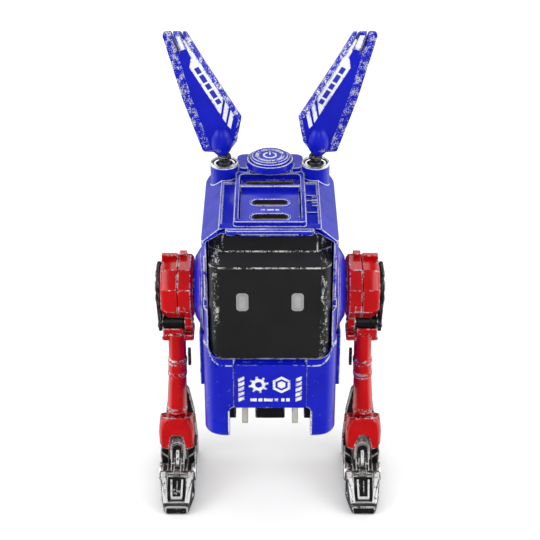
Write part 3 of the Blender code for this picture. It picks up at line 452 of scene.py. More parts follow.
def worn(name, colour, bare, roughness, flat_limit, edge_limit, metallic=0.0, bare_metallic=0.5,
         coat=0.0, near=0.22, grain=1300.0, gloss=0.3, wear_and_highlight_band=None):
    """A painted finish in two materials: for open surfaces, and for the worn bevels along its edges.

    Paint is missing where a noise passes a limit. Open surfaces get extra wear near their edges, by near.
    The last argument holds four distances from the middle plane: streaks of extra wear set in between the
    first two, and fade by about half between the last two. The streaks also paint a highlight: lighter grey
    where the visor's sides curve back.
    """
    looks = []
    for part in ("flat", "edge"):
        nodes = Nodes(f"{name}_{part}")
        fine = nodes.noise(grain, 6.0, 0.68)
        broad = nodes.noise(grain / 6, 3.0, 0.55)
        mixed = nodes.math("ADD", nodes.math("MULTIPLY", fine, 0.6), nodes.math("MULTIPLY", broad, 0.4))
        if part == "flat":
            close = nodes.math("MULTIPLY", nodes.edge_nearness(0.9), near)
            mixed = nodes.math("ADD", mixed, close)
            limit = flat_limit
            # Wear and a painted highlight: lighter streaks in a band near the visor's curving sides.
            if wear_and_highlight_band:
                split = nodes.add("ShaderNodeSeparateXYZ")
                nodes.link(nodes.place, split.inputs["Vector"])
                out = nodes.math("ABSOLUTE", split.outputs["X"], 0.0)
                rise = nodes.remap(out, wear_and_highlight_band[0] * MM, wear_and_highlight_band[1] * MM)
                fall = nodes.remap(out, wear_and_highlight_band[2] * MM, wear_and_highlight_band[3] * MM, 1.0, 0.45)
                streaks = nodes.noise(900.0, 4.0, 0.6, stretch=(1.0, 1.0, 0.3))
                streaks = nodes.remap(streaks, 0.35, 0.65, 0.06, 0.18)
                wear_and_highlight = nodes.math("MULTIPLY", nodes.math("MULTIPLY", rise, fall), streaks)
                mixed = nodes.math("ADD", mixed, wear_and_highlight)
        else:
            limit = edge_limit
        chips = nodes.remap(mixed, limit, limit + CHIP_EDGE)
        tone = nodes.remap(nodes.noise(90.0, 3.0), 0.3, 0.7)
        deep = tuple(channel * DEEP for channel in colour)
        paint = nodes.blend(tone, deep, colour)
        dull = tuple(channel * DULL for channel in bare)
        metal = nodes.blend(nodes.remap(nodes.noise(grain * 1.7, 2.0), 0.35, 0.65), dull, bare)
        nodes.link(nodes.blend(chips, paint, metal), nodes.shader.inputs["Base Color"])
        smear = nodes.remap(nodes.noise(300.0, 5.0), 0.3, 0.75, roughness * 0.85, roughness * 1.3)
        rough = nodes.math("ADD", smear, nodes.math("MULTIPLY", chips, 0.12))
        nodes.link(rough, nodes.shader.inputs["Roughness"])
        shine = nodes.remap(chips, 0.0, 1.0, metallic, bare_metallic)
        nodes.link(shine, nodes.shader.inputs["Metallic"])
        nodes.shader.inputs["Specular IOR Level"].default_value = gloss
        nodes.shader.inputs["Coat Weight"].default_value = coat
        nodes.shader.inputs["Coat Roughness"].default_value = 0.12
        relief = nodes.math("SUBTRACT", nodes.math("MULTIPLY", nodes.noise(2600.0, 2.0), 0.12), chips)
        nodes.bump(relief, 0.35, 0.05)
        looks.append(nodes.material)
    return tuple(looks)


def metal(name, bright, dark, roughness, grime):
    """Bare metal with fine brushing, and grime gathered in blotches; the edges stay bright."""
    looks = []
    for part, limit in (("flat", 0.5 + 0.2 * (1 - grime)), ("edge", 0.78)):
        nodes = Nodes(f"{name}_{part}")
        blotch = nodes.remap(nodes.noise(700.0, 5.0, 0.65), limit - 0.06, limit + 0.06)
        nodes.link(nodes.blend(blotch, bright, dark), nodes.shader.inputs["Base Color"])
        brushed = nodes.noise(500.0, 3.0, 0.5, stretch=(1.0, 1.0, 14.0))
        low, high = roughness * 0.8, roughness * 1.5
        nodes.link(nodes.remap(brushed, 0.3, 0.7, low, high), nodes.shader.inputs["Roughness"])
        nodes.shader.inputs["Metallic"].default_value = 1.0
        nodes.bump(brushed, 0.12, 0.02)
        looks.append(nodes.material)
    return tuple(looks)


def plastic(name, colour, roughness, grain=2400.0, strength=0.1):
    """A moulded plastic with a fine texture and slightly uneven gloss."""
    nodes = Nodes(name)
    light = tuple(min(1.0, channel * 1.25 + 0.004) for channel in colour)
    tone = nodes.remap(nodes.noise(120.0, 4.0), 0.3, 0.7)
    nodes.link(nodes.blend(tone, colour, light), nodes.shader.inputs["Base Color"])
    texture = nodes.noise(grain, 2.0)
    nodes.link(nodes.remap(texture, 0.3, 0.7, roughness * 0.9, roughness * 1.15),
               nodes.shader.inputs["Roughness"])
    nodes.bump(texture, strength, 0.02)
    return (nodes.material, nodes.material)


BLUE = (0.002, 0.007, 0.45)
RED = (0.50, 0.0006, 0.0025)
PALE = (0.80, 0.82, 0.86)
SILVER = (0.78, 0.78, 0.77)
SATIN = {"grain": 2300.0, "gloss": 0.2}
LOOKS = {
    "blue": worn("blue_paint", BLUE, PALE, 0.32, 0.63, 0.45, coat=0.2, near=0.19, **SATIN),
    "blue_fine": worn("fine_blue_paint", BLUE, PALE, 0.32, 0.68, 0.53, coat=0.2, near=0.15, **SATIN),
    "blue_top": worn("top_blue_paint", BLUE, PALE, 0.32, 0.66, 0.41, coat=0.25, near=0.12, **SATIN),
    "blue_ear": worn("ear_paint", BLUE, PALE, 0.32, 0.67, 0.525, coat=0.15, near=0.16, grain=3600.0,
                     gloss=0.2),
    "red": worn("red_paint", RED, PALE, 0.22, 0.655, 0.50, coat=0.5, near=0.17, grain=1900.0, gloss=0.18),
    # The visor's band from 11.2 to 14.4 mm out is rubbed wear and a painted highlight where its sides curve
    # back.
    "visor": worn("visor_black", (0.014, 0.014, 0.015), (0.55, 0.55, 0.54), 0.42, 0.68, 0.485,
                  bare_metallic=0.0, near=0.2, grain=3000.0, wear_and_highlight_band=(11.2, 12.4, 13.5, 14.4)),
    "black": worn("black_plastic", (0.008, 0.008, 0.009), (0.42, 0.43, 0.44), 0.36, 0.70, 0.54,
                  grain=1800.0),
    "foot": worn("foot_black", (0.012, 0.012, 0.013), SILVER, 0.30, 0.60, 0.43, metallic=0.2,
                 bare_metallic=0.6, near=0.3, grain=2100.0),
    "blade": worn("plated_blade", (0.80, 0.76, 0.69), (0.55, 0.50, 0.42), 0.30, 0.68, 0.68, metallic=0.35,
                  gloss=0.4),
    "rail": worn("bare_rail", (0.82, 0.82, 0.81), (0.10, 0.10, 0.11), 0.30, 0.55, 0.62, metallic=0.25,
                 bare_metallic=0.4, near=0.0, grain=1500.0, gloss=0.4),
    "silver": metal("worn_silver", (0.82, 0.82, 0.81), (0.16, 0.16, 0.17), 0.26, 0.55),
    "steel": metal("plated_steel", (0.80, 0.76, 0.71), (0.52, 0.50, 0.48), 0.22, 0.1),
    "gold": metal("gold_plate", (0.86, 0.66, 0.30), (0.45, 0.32, 0.14), 0.26, 0.2),
    "print": worn("white_print", (0.80, 0.81, 0.83), (0.05, 0.06, 0.45), 0.45, 0.72, 0.66, bare_metallic=0.0),
    "blue_print": plastic("blue_print", (0.006, 0.014, 0.36), 0.4),
    "eye": plastic("eye_lens", (0.23, 0.225, 0.225), 0.34, 900.0, 0.05),
    "eye_light": plastic("eye_core", (0.27, 0.27, 0.27), 0.34, 900.0, 0.03),
    "grey": plastic("cap_grey", (0.33, 0.34, 0.35), 0.38),
    "dark": plastic("socket_dark", (0.006, 0.006, 0.007), 0.5),
    "board": plastic("board_green", (0.015, 0.13, 0.05), 0.42, 1200.0, 0.2),
    "ferrite": plastic("winding_tape", (0.42, 0.33, 0.07), 0.45, 800.0, 0.2),
    "sleeve": plastic("capacitor_sleeve", (0.012, 0.014, 0.03), 0.3),
}


def carry(node, look, bevel=0.15):
    """Finish a CAD node that stays as it is: a procedural material, and a small rounded edge."""
    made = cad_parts[node]
    for face in made.data.polygons:
        face.material_index = 0
    wear(made, look, bevel, 40, clamp=True)


# ---- body ----

def build_shell():
    inner = BODY_HALF - WALL
    bottom = SHELL_LOW.z - 0.5
    bumper = oblong(-BUMPER_HALF, BUMPER_HALF, BUMPER_FRONT, -7.0, 4.9)
    cavity_front = BUMPER_FRONT + 2.7
    cavity = oblong(-inner, inner, cavity_front, BODY_BACK - WALL, 2.0)
    notch = oblong(-10.1, 10.1, bottom - 4, PLATE_LOW.z, 1.2)
    recess = rectangle(PLATE_LOW.x - SEAM, PLATE_HIGH.x + SEAM, PLATE_LOW.z - 1, WINDOW_BOTTOM + 1)
    above = SHELL_HIGH.z + 8
    window = oblong(-inner, inner, WINDOW_BOTTOM, above, WINDOW_CORNER)
    rim = []
    for y, spread in ((BUMPER_FRONT + 1.6, 0.0), (BUMPER_FRONT - 0.4, 1.3)):
        edge = oblong(-inner - spread, inner + spread, WINDOW_BOTTOM - spread, above + spread,
                      WINDOW_CORNER + spread)
        rim.append([(x, y, z) for x, z in edge])
    far = BODY_FRONT - 5
    joins = [prism(bumper, "Z", bottom, 52.0)]
    cuts = [
        prism(cavity, "Z", bottom - 1, SHELL_HIGH.z + 1),
        prism(window, "Y", far, -10.7),
        loft(rim),
        prism(notch, "Y", far, cavity_front + 1),
        prism(recess, "Y", far, PLATE_HIGH.y + 0.3),
    ]
    for _, side in SIDES:
        joins.append(side_prism(oblong(-4.0, 4.0, *RIB_Z, 1.0), side, BODY_HALF - 0.6, RIB_FACE))
        cuts.append(side_prism(ring_points(*HIP, 2.3), side, inner - 1, BODY_HALF + 1))
        pad = oblong(-2.4, 2.4, RIB_Z[0] + 1.9, RIB_Z[1] - 1.9, 0.7)
        cuts.append(side_prism(pad, side, RIB_FACE - 0.45, 19))
        for y in (11.6, 13.4, 15.2):
            vent = oblong(y - 0.45, y + 0.45, 34.0, 46.0, 0.4)
            cuts.append(side_prism(vent, side, BODY_HALF - 0.5, BODY_HALF + 1))
        for depth, z in ((-15.0, (64.3, 76.5)), (-13.8, (62.0, 64.4))):
            cuts.append(block(reach_x(side, 14.9, BUMPER_HALF + 0.3), (far, depth), z))
        crease = rectangle(-6.9, BODY_BACK - 3.9, 51.85, 52.15)
        cuts.append(side_prism(crease, side, BODY_HALF - 0.35, BODY_HALF + 1))
    # The rear panel is outlined by a fine groove, cut with a ring that is made first.
    panel = prism(oblong(-11.4, 11.4, 32.5, 75.0, 2.0), "Y", BODY_BACK - 0.45, BODY_BACK + 1)
    inside = prism(oblong(-10.9, 10.9, 33.0, 74.5, 1.5), "Y", BODY_BACK - 1, BODY_BACK + 2)
    groove = store("groove_tool", panel)
    combine(groove, (("DIFFERENCE", [inside]),))
    ring = bmesh.new()
    ring.from_mesh(groove.data)
    bmesh.ops.scale(ring, verts=ring.verts, vec=(1 / MM,) * 3)
    bpy.data.objects.remove(groove, do_unlink=True)
    cuts.append(ring)
    for z in (62.0, 64.6, 67.2, 69.8):
        cuts.append(prism(oblong(-7.6, 7.6, z - 0.55, z + 0.55, 0.5), "Y", BODY_BACK - 0.6, BODY_BACK + 1))
    body = oblong(-BODY_HALF, BODY_HALF, BODY_FRONT, BODY_BACK, 4.0)
    piece("shell", "root", "blue", prism(body, "Z", bottom, SHELL_HIGH.z), cuts, joins, bevel=0.2,
          hides=["housing"], split=True)
    for name, side in SIDES:
        strip = block(reach_x(side, 10.12, 10.55), (BUMPER_FRONT - 0.03, BUMPER_FRONT + 1),
                      (bottom + 0.3, 33.6))
        piece(f"notch_edge_{name}", "root", "rail", strip, bevel=0.1)
    for number, (x, z) in enumerate(((-8.9, 35.0), (8.9, 35.0), (-8.9, 72.5), (8.9, 72.5)), 1):
        build_screw(f"rear_screw_{number}", (x, z), BODY_BACK - 0.3, 1.15)


def build_screw(name, centre, face_y, radius):
    """A small cross-head screw in the back, its head just proud of the panel."""
    head = [(0, face_y - 0.6), (radius, face_y - 0.6), (radius, face_y + 0.25), (radius - 0.3, face_y + 0.45),
            (0, face_y + 0.45)]
    slots = []
    for half_x, half_z in ((0.62 * radius, 0.16), (0.16, 0.62 * radius)):
        outline = rectangle(centre[0] - half_x, centre[0] + half_x, centre[1] - half_z, centre[1] + half_z)
        slots.append(prism(outline, "Y", face_y + 0.1, face_y + 1))
    piece(name, "root", "steel", turned(head, "Y", centre, steps=32), slots, bevel=0.05)


def build_front_plate():
    outline = rectangle(PLATE_LOW.x - 0.3, PLATE_HIGH.x + 0.3, PLATE_LOW.z, PLATE_HIGH.z + 0.3)
    front = PLATE_LOW.y - 0.05
    piece("badge_plate", "root", "blue_fine", prism(outline, "Y", front, PLATE_HIGH.y), bevel=0.04,
          hides=["front_plate"])
    decal = (front - 0.05, front + 0.3)
    for name, side in SIDES:
        line = block(reach_x(side, 8.78, 8.9), (front - 0.01, front + 0.3), (PLATE_LOW.z + 0.1, PLATE_HIGH.z))
        piece(f"plate_seam_{name}", "root", "dark", line, bevel=0)
        left, right = reach_x(side, 6.35, 7.85)
        for number in range(5):
            low = 36.95 + number * 1.5
            bar = [(left, low - 0.33), (right, low + 0.33), (right, low + 1.38), (left, low + 0.72)]
            printed(f"badge_bar_{name}_{number + 1}", "root", bar, "Y", decal)
    gear = []
    teeth = 8
    for tooth in range(teeth):
        for share, radius in ((0.0, 1.75), (0.12, 2.45), (0.38, 2.45), (0.5, 1.75)):
            turn = 2 * math.pi * (tooth + share) / teeth
            gear.append((-BADGE_X + radius * math.cos(turn), BADGE_Z + radius * math.sin(turn)))
    through = (front - 1, front + 1)
    hole = prism(ring_points(-BADGE_X, BADGE_Z, 0.85), "Y", *through)
    printed("badge_gear", "root", gear, "Y", decal, [hole])
    outer, inner, core = [ring_points(BADGE_X, BADGE_Z, radius, 6, math.pi / 6)
                          for radius in (2.5, 1.75, 1.1)]
    printed("badge_hexagon", "root", outer, "Y", decal, [prism(inner, "Y", *through)])
    printed("badge_core", "root", core, "Y", decal)
    dashes = ((-4.9, -3.3), (-2.9, -1.9), (-1.5, 0.7), (1.1, 2.0), (2.8, 3.6), (4.0, 4.9))
    for number, (low, high) in enumerate(dashes, 1):
        printed(f"badge_dash_{number}", "root", rectangle(low, high, 36.75, 37.65), "Y", decal)


def build_top_cover():
    spare = 0.3
    inner = BODY_HALF - 1.3
    sides = BODY_HALF + spare

    def section(half, slope_end, low, edge, top):
        return [(-half, low), (half, low), (half, edge), (slope_end, top), (-slope_end, top), (-half, edge)]

    cover = prism(section(sides, 11.9, SHOULDER, SHOULDER + 0.04, TOP_LEVEL), "Y",
                  BODY_FRONT, BODY_BACK + spare)
    hollow = section(inner, 11.4, SHOULDER - 1, SHOULDER + 0.5, TOP_LEVEL - 1.3)
    surround = oblong(-FRAME_HALF, FRAME_HALF, FRAME_FRONT, 11.8, 0.8)
    deck = oblong(-8.3, 8.3, 9.8, BODY_BACK - 0.1, 2.0)
    lip = oblong(-10.2, 10.2, BUMPER_FRONT, FRAME_FRONT + 1.5, 0.9)
    boss_top = BUTTON_HIGH.z - 0.8
    boss = [(0, DECK_TOP - 1), (BUTTON_RADIUS + 1.0, DECK_TOP - 1), (BUTTON_RADIUS + 1.0, DECK_TOP + 0.7),
            (BUTTON_RADIUS + 0.75, boss_top), (0, boss_top)]
    joins = [
        prism(surround, "Z", 83.9, FRAME_TOP),
        prism(deck, "Z", 84.1, DECK_TOP),
        prism(lip, "Z", 83.2, TOP_LEVEL - 0.05),
        turned(boss, "Z", (0, BUTTON_Y)),
    ]
    pocket = oblong(PANEL_LOW.x - 0.3, PANEL_HIGH.x + 0.3, PANEL_LOW.y - 0.3, PANEL_HIGH.y + 0.3, 1.2)
    cuts = [
        prism(hollow, "Y", BODY_FRONT - 2, BODY_BACK - 1.3),
        prism(pocket, "Z", TOP_LEVEL - 4, FRAME_TOP + 1),
        prism(ring_points(0, BUTTON_Y, BUTTON_RADIUS + 0.25, 56), "Z", 86.2, 92.0),
        prism(ring_points(0, BUTTON_Y, 2.5), "Z", 82.0, 87.0),
        prism(rectangle(-6.4, 6.4, TOP_LEVEL - 1.25, TOP_LEVEL - 0.95), "Y", BUMPER_FRONT - 1,
              BUMPER_FRONT + 0.35),
    ]
    for name, side in SIDES:
        centre = middle(f"ear_cup_{name}")[:2]
        socket = [(0, 82.4), (3.5, 82.4), (3.5, 88.1), (3.2, 88.45), (0, 88.45)]
        joins.append(turned(socket, "Z", centre))
        cuts.append(prism(ring_points(*centre, 2.95), "Z", 84.2, 90.0))
        channel = rectangle(*reach_x(side, 8.5, 11.4), FRAME_FRONT + 1.5, 7.0)
        cuts.append(prism(channel, "Z", TOP_LEVEL - 0.5, FRAME_TOP + 1))
    corners = oblong(-BODY_HALF, BODY_HALF, BUMPER_FRONT - 1, BODY_BACK, 4.0)
    piece("top_shell", "root", "blue_top", cover, cuts, joins, [prism(corners, "Z", 78.0, 95.0)],
          bevel=0.14, hides=["top_cover"], split=True)
    for number, y in enumerate((0.3, -2.4, -8.4), 1):
        rib = block((8.6, 11.35), (y - 0.25, y + 0.25), (84.3, 84.95))
        piece(f"channel_rib_{number}", "root", "blue_top", rib, bevel=0.12)
    for number in range(4):
        y = -0.7 - number * 1.5
        ridge = oblong(10.0, 11.35, y - 0.35, y + 0.35, 0.3, 3)
        piece(f"grip_ridge_{number + 1}", "root", "blue_top", prism(ridge, "Z", 84.3, 85.1), bevel=0.12)
    for name, _ in SIDES:
        centre = middle(f"ear_cup_{name}")[:2]
        ring = [(3.0, 88.2), (3.45, 88.2), (3.45, 88.5), (3.2, 88.7), (3.0, 88.6)]
        piece(f"socket_ring_{name}", "root", "silver", turned(ring, "Z", centre), bevel=0.06)


def sleeve(name, look, outline, opening, z, bevel):
    """A thin upright wall around one of the sockets."""
    piece(name, "root", look, prism(outline, "Z", *z), [prism(opening, "Z", 80.0, 90.0)], bevel=bevel)


def build_port_panel():
    half = PANEL_HIGH.x
    outline = oblong(-half, half, PANEL_LOW.y, PANEL_HIGH.y, 0.6)
    slot_a = oblong(-6.15, 6.15, 3.75, 8.25, 0.4)
    cuts = [prism(slot_a, "Z", PANEL_LOW.z - 1, TOP_LEVEL + 1)]
    for end, y in USB_C_ROWS:
        slot_c = oblong(-4.3, 4.3, y - 1.4, y + 1.4, 1.35)
        cuts.append(prism(slot_c, "Z", PANEL_LOW.z - 1, TOP_LEVEL + 1))
        rim = oblong(-4.9, 4.9, y - 2.0, y + 2.0, 1.9)
        opening = prism(slot_c, "Z", TOP_LEVEL - 2, TOP_LEVEL + 1)
        piece(f"usb_c_rim_{end}", "root", "blue_top", prism(rim, "Z", TOP_LEVEL - 0.2, TOP_LEVEL + 0.2),
              [opening], bevel=0.12)
    piece("port_face", "root", "blue_fine", prism(outline, "Z", PANEL_LOW.z, TOP_LEVEL), cuts,
          bevel=0, hides=["port_panel"])
    bar = block((-half - 0.2, half + 0.2), (2.3, 3.4), (TOP_LEVEL - 0.3, FRAME_TOP))
    piece("port_bar", "root", "blue_top", bar, bevel=0.25)
    for end, y in USB_C_ROWS:
        tongue = oblong(-3.3, 3.3, y - 0.35, y + 0.35, 0.15, 3)
        piece(f"usb_c_tongue_{end}", "root", "gold", prism(tongue, "Z", 80.0, 83.2), bevel=0.08)
        sleeve(f"usb_c_collar_{end}", "gold", oblong(-4.12, 4.12, y - 1.24, y + 1.24, 1.2),
               oblong(-3.9, 3.9, y - 1.02, y + 1.02, 1.0), (82.8, 84.0), 0.05)
        sleeve(f"usb_c_liner_{end}", "dark", oblong(-4.28, 4.28, y - 1.38, y + 1.38, 1.3),
               oblong(-4.15, 4.15, y - 1.25, y + 1.25, 1.2), (83.9, TOP_LEVEL - 0.1), 0)
    sleeve("usb_a_collar", "gold", oblong(-6.05, 6.05, 3.85, 8.15, 0.35),
           oblong(-5.75, 5.75, 4.15, 7.85, 0.2, 3), (83.5, 84.7), 0.06)
    piece("usb_a_tongue", "root", "dark", block((-5.2, 5.2), (5.9, 7.5), (80.0, 82.8)), bevel=0.12)
    for number, x in enumerate((-3.5, -1.2, 1.2, 3.5), 1):
        strip = block((x - 0.95, x + 0.95), (5.6, 5.95), (80.0, 82.7))
        piece(f"usb_a_contact_{number}", "root", "gold", strip, bevel=0.03)
    for number, (low, high) in enumerate(((-2.2, -1.2), (-0.8, 0.9), (1.3, 2.2)), 1):
        dash = rectangle(low, high, -7.85, -7.3)
        printed(f"panel_dash_{number}", "root", dash, "Z", (TOP_LEVEL - 0.2, TOP_LEVEL + 0.04))


def build_button():
    top = BUTTON_HIGH.z
    profile = [(0, BUTTON_LOW.z), (2.9, BUTTON_LOW.z), (2.9, BUTTON_LOW.z + 0.9), (2.2, BUTTON_LOW.z + 0.9),
               (2.2, 87.2), (BUTTON_RADIUS, 87.2), (BUTTON_RADIUS, top - 0.45), (BUTTON_RADIUS - 0.5, top),
               (3.5, top), (3.35, top - 0.3), (3.05, top - 0.3), (2.9, top - 0.05), (0, top - 0.05)]
    piece("button_cap", "power_button", "blue", turned(profile, "Z", (0, BUTTON_Y)), bevel=0.14,
          hides=["power_button"])
    face = (top - 0.2, top + 0.02)
    gap = [prism(ring_points(0, BUTTON_Y, 1.3), "Z", top - 1, top + 1),
           block((-0.55, 0.55), (BUTTON_Y, BUTTON_Y + 3), (top - 1, top + 1))]
    printed("button_mark_ring", "power_button", ring_points(0, BUTTON_Y, 1.75), "Z", face, gap)
    bar = rectangle(-0.22, 0.22, BUTTON_Y + 0.3, BUTTON_Y + 2.0)
    printed("button_mark_bar", "power_button", bar, "Z", face)


# ---- visor and eyes ----

FLAT_CORNER_X = 11.5
BROW_Y = -14.1                  # front of the visor's upper, set-back part
BROW_X = 11.2


def visor_ring(z, inset, front, corner_x, half_width):
    """Plan outline of the visor at one level; corner_x is where the front corner starts.

    A corner that starts far out is round, and one that starts further in is cut flat.
    """
    side = half_width - inset
    front += inset
    points = [(side, -11.0 + (1.0 if inset else 0.0))]
    steps = 9
    for step in range(steps + 1):
        share = step / steps
        if corner_x > FLAT_CORNER_X:
            turn = share * math.pi / 2
            x = corner_x - inset + (side - corner_x + inset) * math.cos(turn)
            y = front + 3.0 * (1 - math.sin(turn))
        else:
            x = side + (corner_x - inset * 0.4 - side) * share
            y = front + 2.4 * (1 - share)
        points.append((x, y))
    points += [(-x, y) for x, y in reversed(points)]
    return [(x, y, z) for x, y in points]


def build_visor():
    half = VISOR_HIGH.x
    top = VISOR_HIGH.z
    levels = [(VISOR_LOW.z - 1, BODY_FRONT, half - 3.0), (74.45, BODY_FRONT, half - 3.0),
              (77.4, BROW_Y, BROW_X), (81.1, BROW_Y, BROW_X)]
    rings = [visor_ring(z, 0.0, front, x, half) for z, front, x in levels]
    rings.append(visor_ring(top, 0.0, BROW_Y, 10.8, 12.3))
    inside = [(VISOR_LOW.z + 3, BODY_FRONT, half - 3.0)] + levels[1:3] + [(top + 1, BROW_Y, BROW_X)]
    cuts = [loft([visor_ring(z, 1.3, front, x, half) for z, front, x in inside])]
    keep = oblong(-half, half, VISOR_LOW.z, top + 8, WINDOW_CORNER)
    piece("visor_shell", "root", "visor", loft(rings), cuts, (), [prism(keep, "Y", -30.0, 0.0)],
          bevel=0.2, hides=["visor"])
    for name, _ in SIDES:
        low, high = span(f"eye_lens_{name}")
        rim = oblong(low.x - 0.3, high.x + 0.3, low.z - 0.3, high.z + 0.3, 1.3)
        piece(f"eye_rim_{name}", "root", "dark", prism(rim, "Y", BODY_FRONT - 0.04, BODY_FRONT + 1),
              bevel=0.05)
        outline = oblong(low.x, high.x, low.z, high.z, 1.0)
        piece(f"eye_{name}", "root", "eye", prism(outline, "Y", BODY_FRONT - 0.12, high.y),
              bevel=0.2, hides=[f"eye_lens_{name}"])
        core = oblong(low.x + 0.75, high.x - 0.75, low.z + 0.8, high.z - 0.8, 0.7)
        piece(f"eye_core_{name}", "root", "eye_light", prism(core, "Y", BODY_FRONT - 0.15, BODY_FRONT + 1),
              bevel=0.1)


# ---- base, blades and inner parts ----

def build_base():
    low, high = span("base_plate")
    pivot = middle("blade_pivot_shaft")[1:]
    slab = prism(oblong(low.x, high.x, low.y, high.y, 1.6), "Z", low.z, high.z)
    cuts = [prism(ring_points(*pivot, 1.7), "X", -10.4, 10.4)]
    for _, side in SIDES:
        cuts.append(block(reach_x(side, 3.73, 8.6), (low.y - 1, pivot[0] + 3.75), (low.z - 1, high.z + 1)))
        cuts.append(prism(ring_points(side * 11.0, 12.0, 1.9), "Z", low.z - 1, low.z + 1.5))
        groove = oblong(*reach_x(side, 10.2, 13.2), -12.5, 8.0, 0.8)
        cuts.append(prism(groove, "Z", low.z - 1, low.z + 0.5))
    label = oblong(-7.5, 7.5, 8.5, 14.8, 0.8)
    cuts.append(prism(label, "Z", low.z - 1, low.z + 0.3))
    piece("base_block", "root", "black", slab, cuts, bevel=0.4, hides=["base_plate"])
    for name, _ in SIDES:
        carry(f"blade_{name}", "blade", 0.35)
        carry(f"blade_contact_{name}", "gold")
    carry("blade_pivot_shaft", "black", 0.2)


def build_inside():
    for node, look in (("main_board", "board"), ("eye_board", "board"), ("transformer", "ferrite"),
                       ("capacitor", "sleeve"), ("button_switch", "dark"), ("usb_a_port", "steel"),
                       ("usb_c_port_front", "gold"), ("usb_c_port_rear", "gold"),
                       ("base_screw_1", "steel"), ("base_screw_2", "steel")):
        carry(node, look, 0.1)


# ---- ears ----

EAR_CORNERS = ((16.5, 91.6), (21.0, 105.1), (25.55, 122.4), (19.6, 122.3), (15.7, 115.4),
               (10.8, 107.2), (6.9, 100.7), (8.1, 94.3), (10.4, 91.2))
EAR_RADII = [0.6, 0, 0.9, 0.5, 0, 0, 0.6, 0.5, 0.6]
EAR_MARGINS = (2.2, 2.2, 0.5, 0.9, 0.9, 0.9, 0.7, 0.6, 0.5)
EAR_STEP = 0.7                  # how deep the bevel around each face is
EAR_FLAT = 0.985                # a polygon belongs to a flat face where its normal is at least this level
INNER_TOP = Vector((19.6, 122.3))
INNER_FOOT = Vector((6.9, 100.7))


def on_band(distance, margin):
    """A point on the ear's face: how far down its inner edge, and how far in from that edge."""
    along = (INNER_FOOT - INNER_TOP).normalized()
    inward = Vector((-along.y, along.x))
    return tuple(INNER_TOP + along * distance + inward * margin)


def build_ear(name, side):
    body = f"ear_{name}"
    face_y = span(f"ear_blade_{name}")[0].y
    centre_x, centre_y, _ = middle(f"ear_cup_{name}")
    half = 1.3
    full = mirrored(rounded(EAR_CORNERS, EAR_RADII, 5), side)
    face = mirrored(rounded(shrunk(EAR_CORNERS, EAR_MARGINS), EAR_RADII, 5), side)
    rings = []
    for outline, y in ((face, -half), (full, -half + EAR_STEP), (full, half - EAR_STEP), (face, half)):
        rings.append([(x, centre_y + y, z) for x, z in outline])
    grooves = []
    for start, end in (((23.5, 123.6), (21.3, 117.3)), ((21.4, 123.6), (18.4, 117.3))):
        along = (Vector(end) - Vector(start)).normalized() * 0.24
        across = Vector((-along.y, along.x))
        corners = [Vector(start) - across, Vector(end) - across, Vector(end) + across, Vector(start) + across]
        outline = mirrored([tuple(corner) for corner in corners], side)
        grooves.append(prism(outline, "Y", centre_y - half - 1, centre_y + half + 1))
    made = piece(f"ear_wing_{name}", body, "blue_ear", loft(rings), grooves, bevel=0.14,
                 angle=14, hides=[f"ear_blade_{name}"])
    for polygon in made.data.polygons:
        if abs(polygon.normal.y) < EAR_FLAT:
            polygon.material_index = 1

    decal = (centre_y - half - 0.04, centre_y - half + 0.3)
    marks = (
        ("band", ((0.9, 1.05), (18.3, 1.05), (21.7, 3.85), (7.5, 3.85), (5.5, 2.2), (0.9, 1.6))),
        ("bar_1", ((19.2, 1.05), (20.9, 1.05), (24.0, 3.85), (22.5, 3.85))),
        ("bar_2", ((21.7, 1.05), (23.2, 1.05), (26.0, 3.6), (24.8, 3.85))),
    )
    for mark, points in marks:
        printed(f"ear_{mark}_{name}", body, mirrored([on_band(*point) for point in points], side), "Y", decal)
    label = mirrored([(22.3, 121.9), (21.1, 121.9), (19.8, 118.5), (21.1, 118.2)], side)
    printed(f"ear_label_{name}", body, label, "Y", decal)
    dashes = ((8.3, 10.0), (10.5, 12.6), (13.1, 14.6), (15.1, 17.2), (17.7, 19.0))
    for number, (start, end) in enumerate(dashes, 1):
        corners = [on_band(*corner) for corner in rectangle(start, end, 1.9, 3.1)]
        printed(f"ear_dash_{number}_{name}", body, mirrored(corners, side), "Y", (decal[0] - 0.02, decal[1]),
                look="blue_print")

    knob_centre = (side * 11.9, centre_y - 0.3, 94.5)
    slot = block(reach_x(side, 12.1, 13.3), (face_y - 1, face_y + 0.9), (92.6, 93.1))
    piece(f"ear_knob_{name}", body, "blue_ear", egg(knob_centre, (2.8, 2.9, 4.1)), [slot], bevel=0.1)
    collar = [(0, 89.4), (1.4, 89.4), (1.7, 89.8), (1.7, 90.3), (1.4, 90.7), (0, 90.7)]
    piece(f"ear_collar_{name}", body, "black", turned(collar, "Z", (centre_x, centre_y)), bevel=0.12)
    carry(f"ear_stud_{name}", "black", 0.05)
    carry(f"ear_cup_{name}", "silver", 0.12)


# ---- hips and hubs ----

DRUM_RADIUS = 8.35


def drum_rings(side, spans):
    """The drum's outline, an octagon with one corner moved, at each (place along X, scale)."""
    corners = ring_points(0.0, 0.0, DRUM_RADIUS, 8, math.radians(22.5))
    corners[2] = (-4.1, 7.0)
    outline = rounded(corners, [0, 2.2, 0, 0, 0, 2.2, 2.2, 0], 5)
    return [[(side * x, y * scale, HIP_Z + z * scale) for y, z in outline] for x, scale in spans]


def strap(centre_a, radius_a, centre_b, radius_b):
    """Outline of a flat link with round ends; the first end is the upper one."""
    upper = arc_points(*centre_a, radius_a, 0, 180, 16)
    return upper + arc_points(*centre_b, radius_b, 180, 360, 16)


def build_hip(name, side):
    boss = [(2.3, 16.5), (11.4, 16.5), (10.2, 17.15), (9.9, 17.05), (9.6, 17.45), (7.6, 18.65), (2.3, 18.65)]
    piece(f"hip_cone_{name}", "root", "blue", side_turned(boss, side, HIP), bevel=0.16,
          hides=[f"hip_boss_{name}"])
    carry(f"hip_axle_{name}", "steel", 0.2)


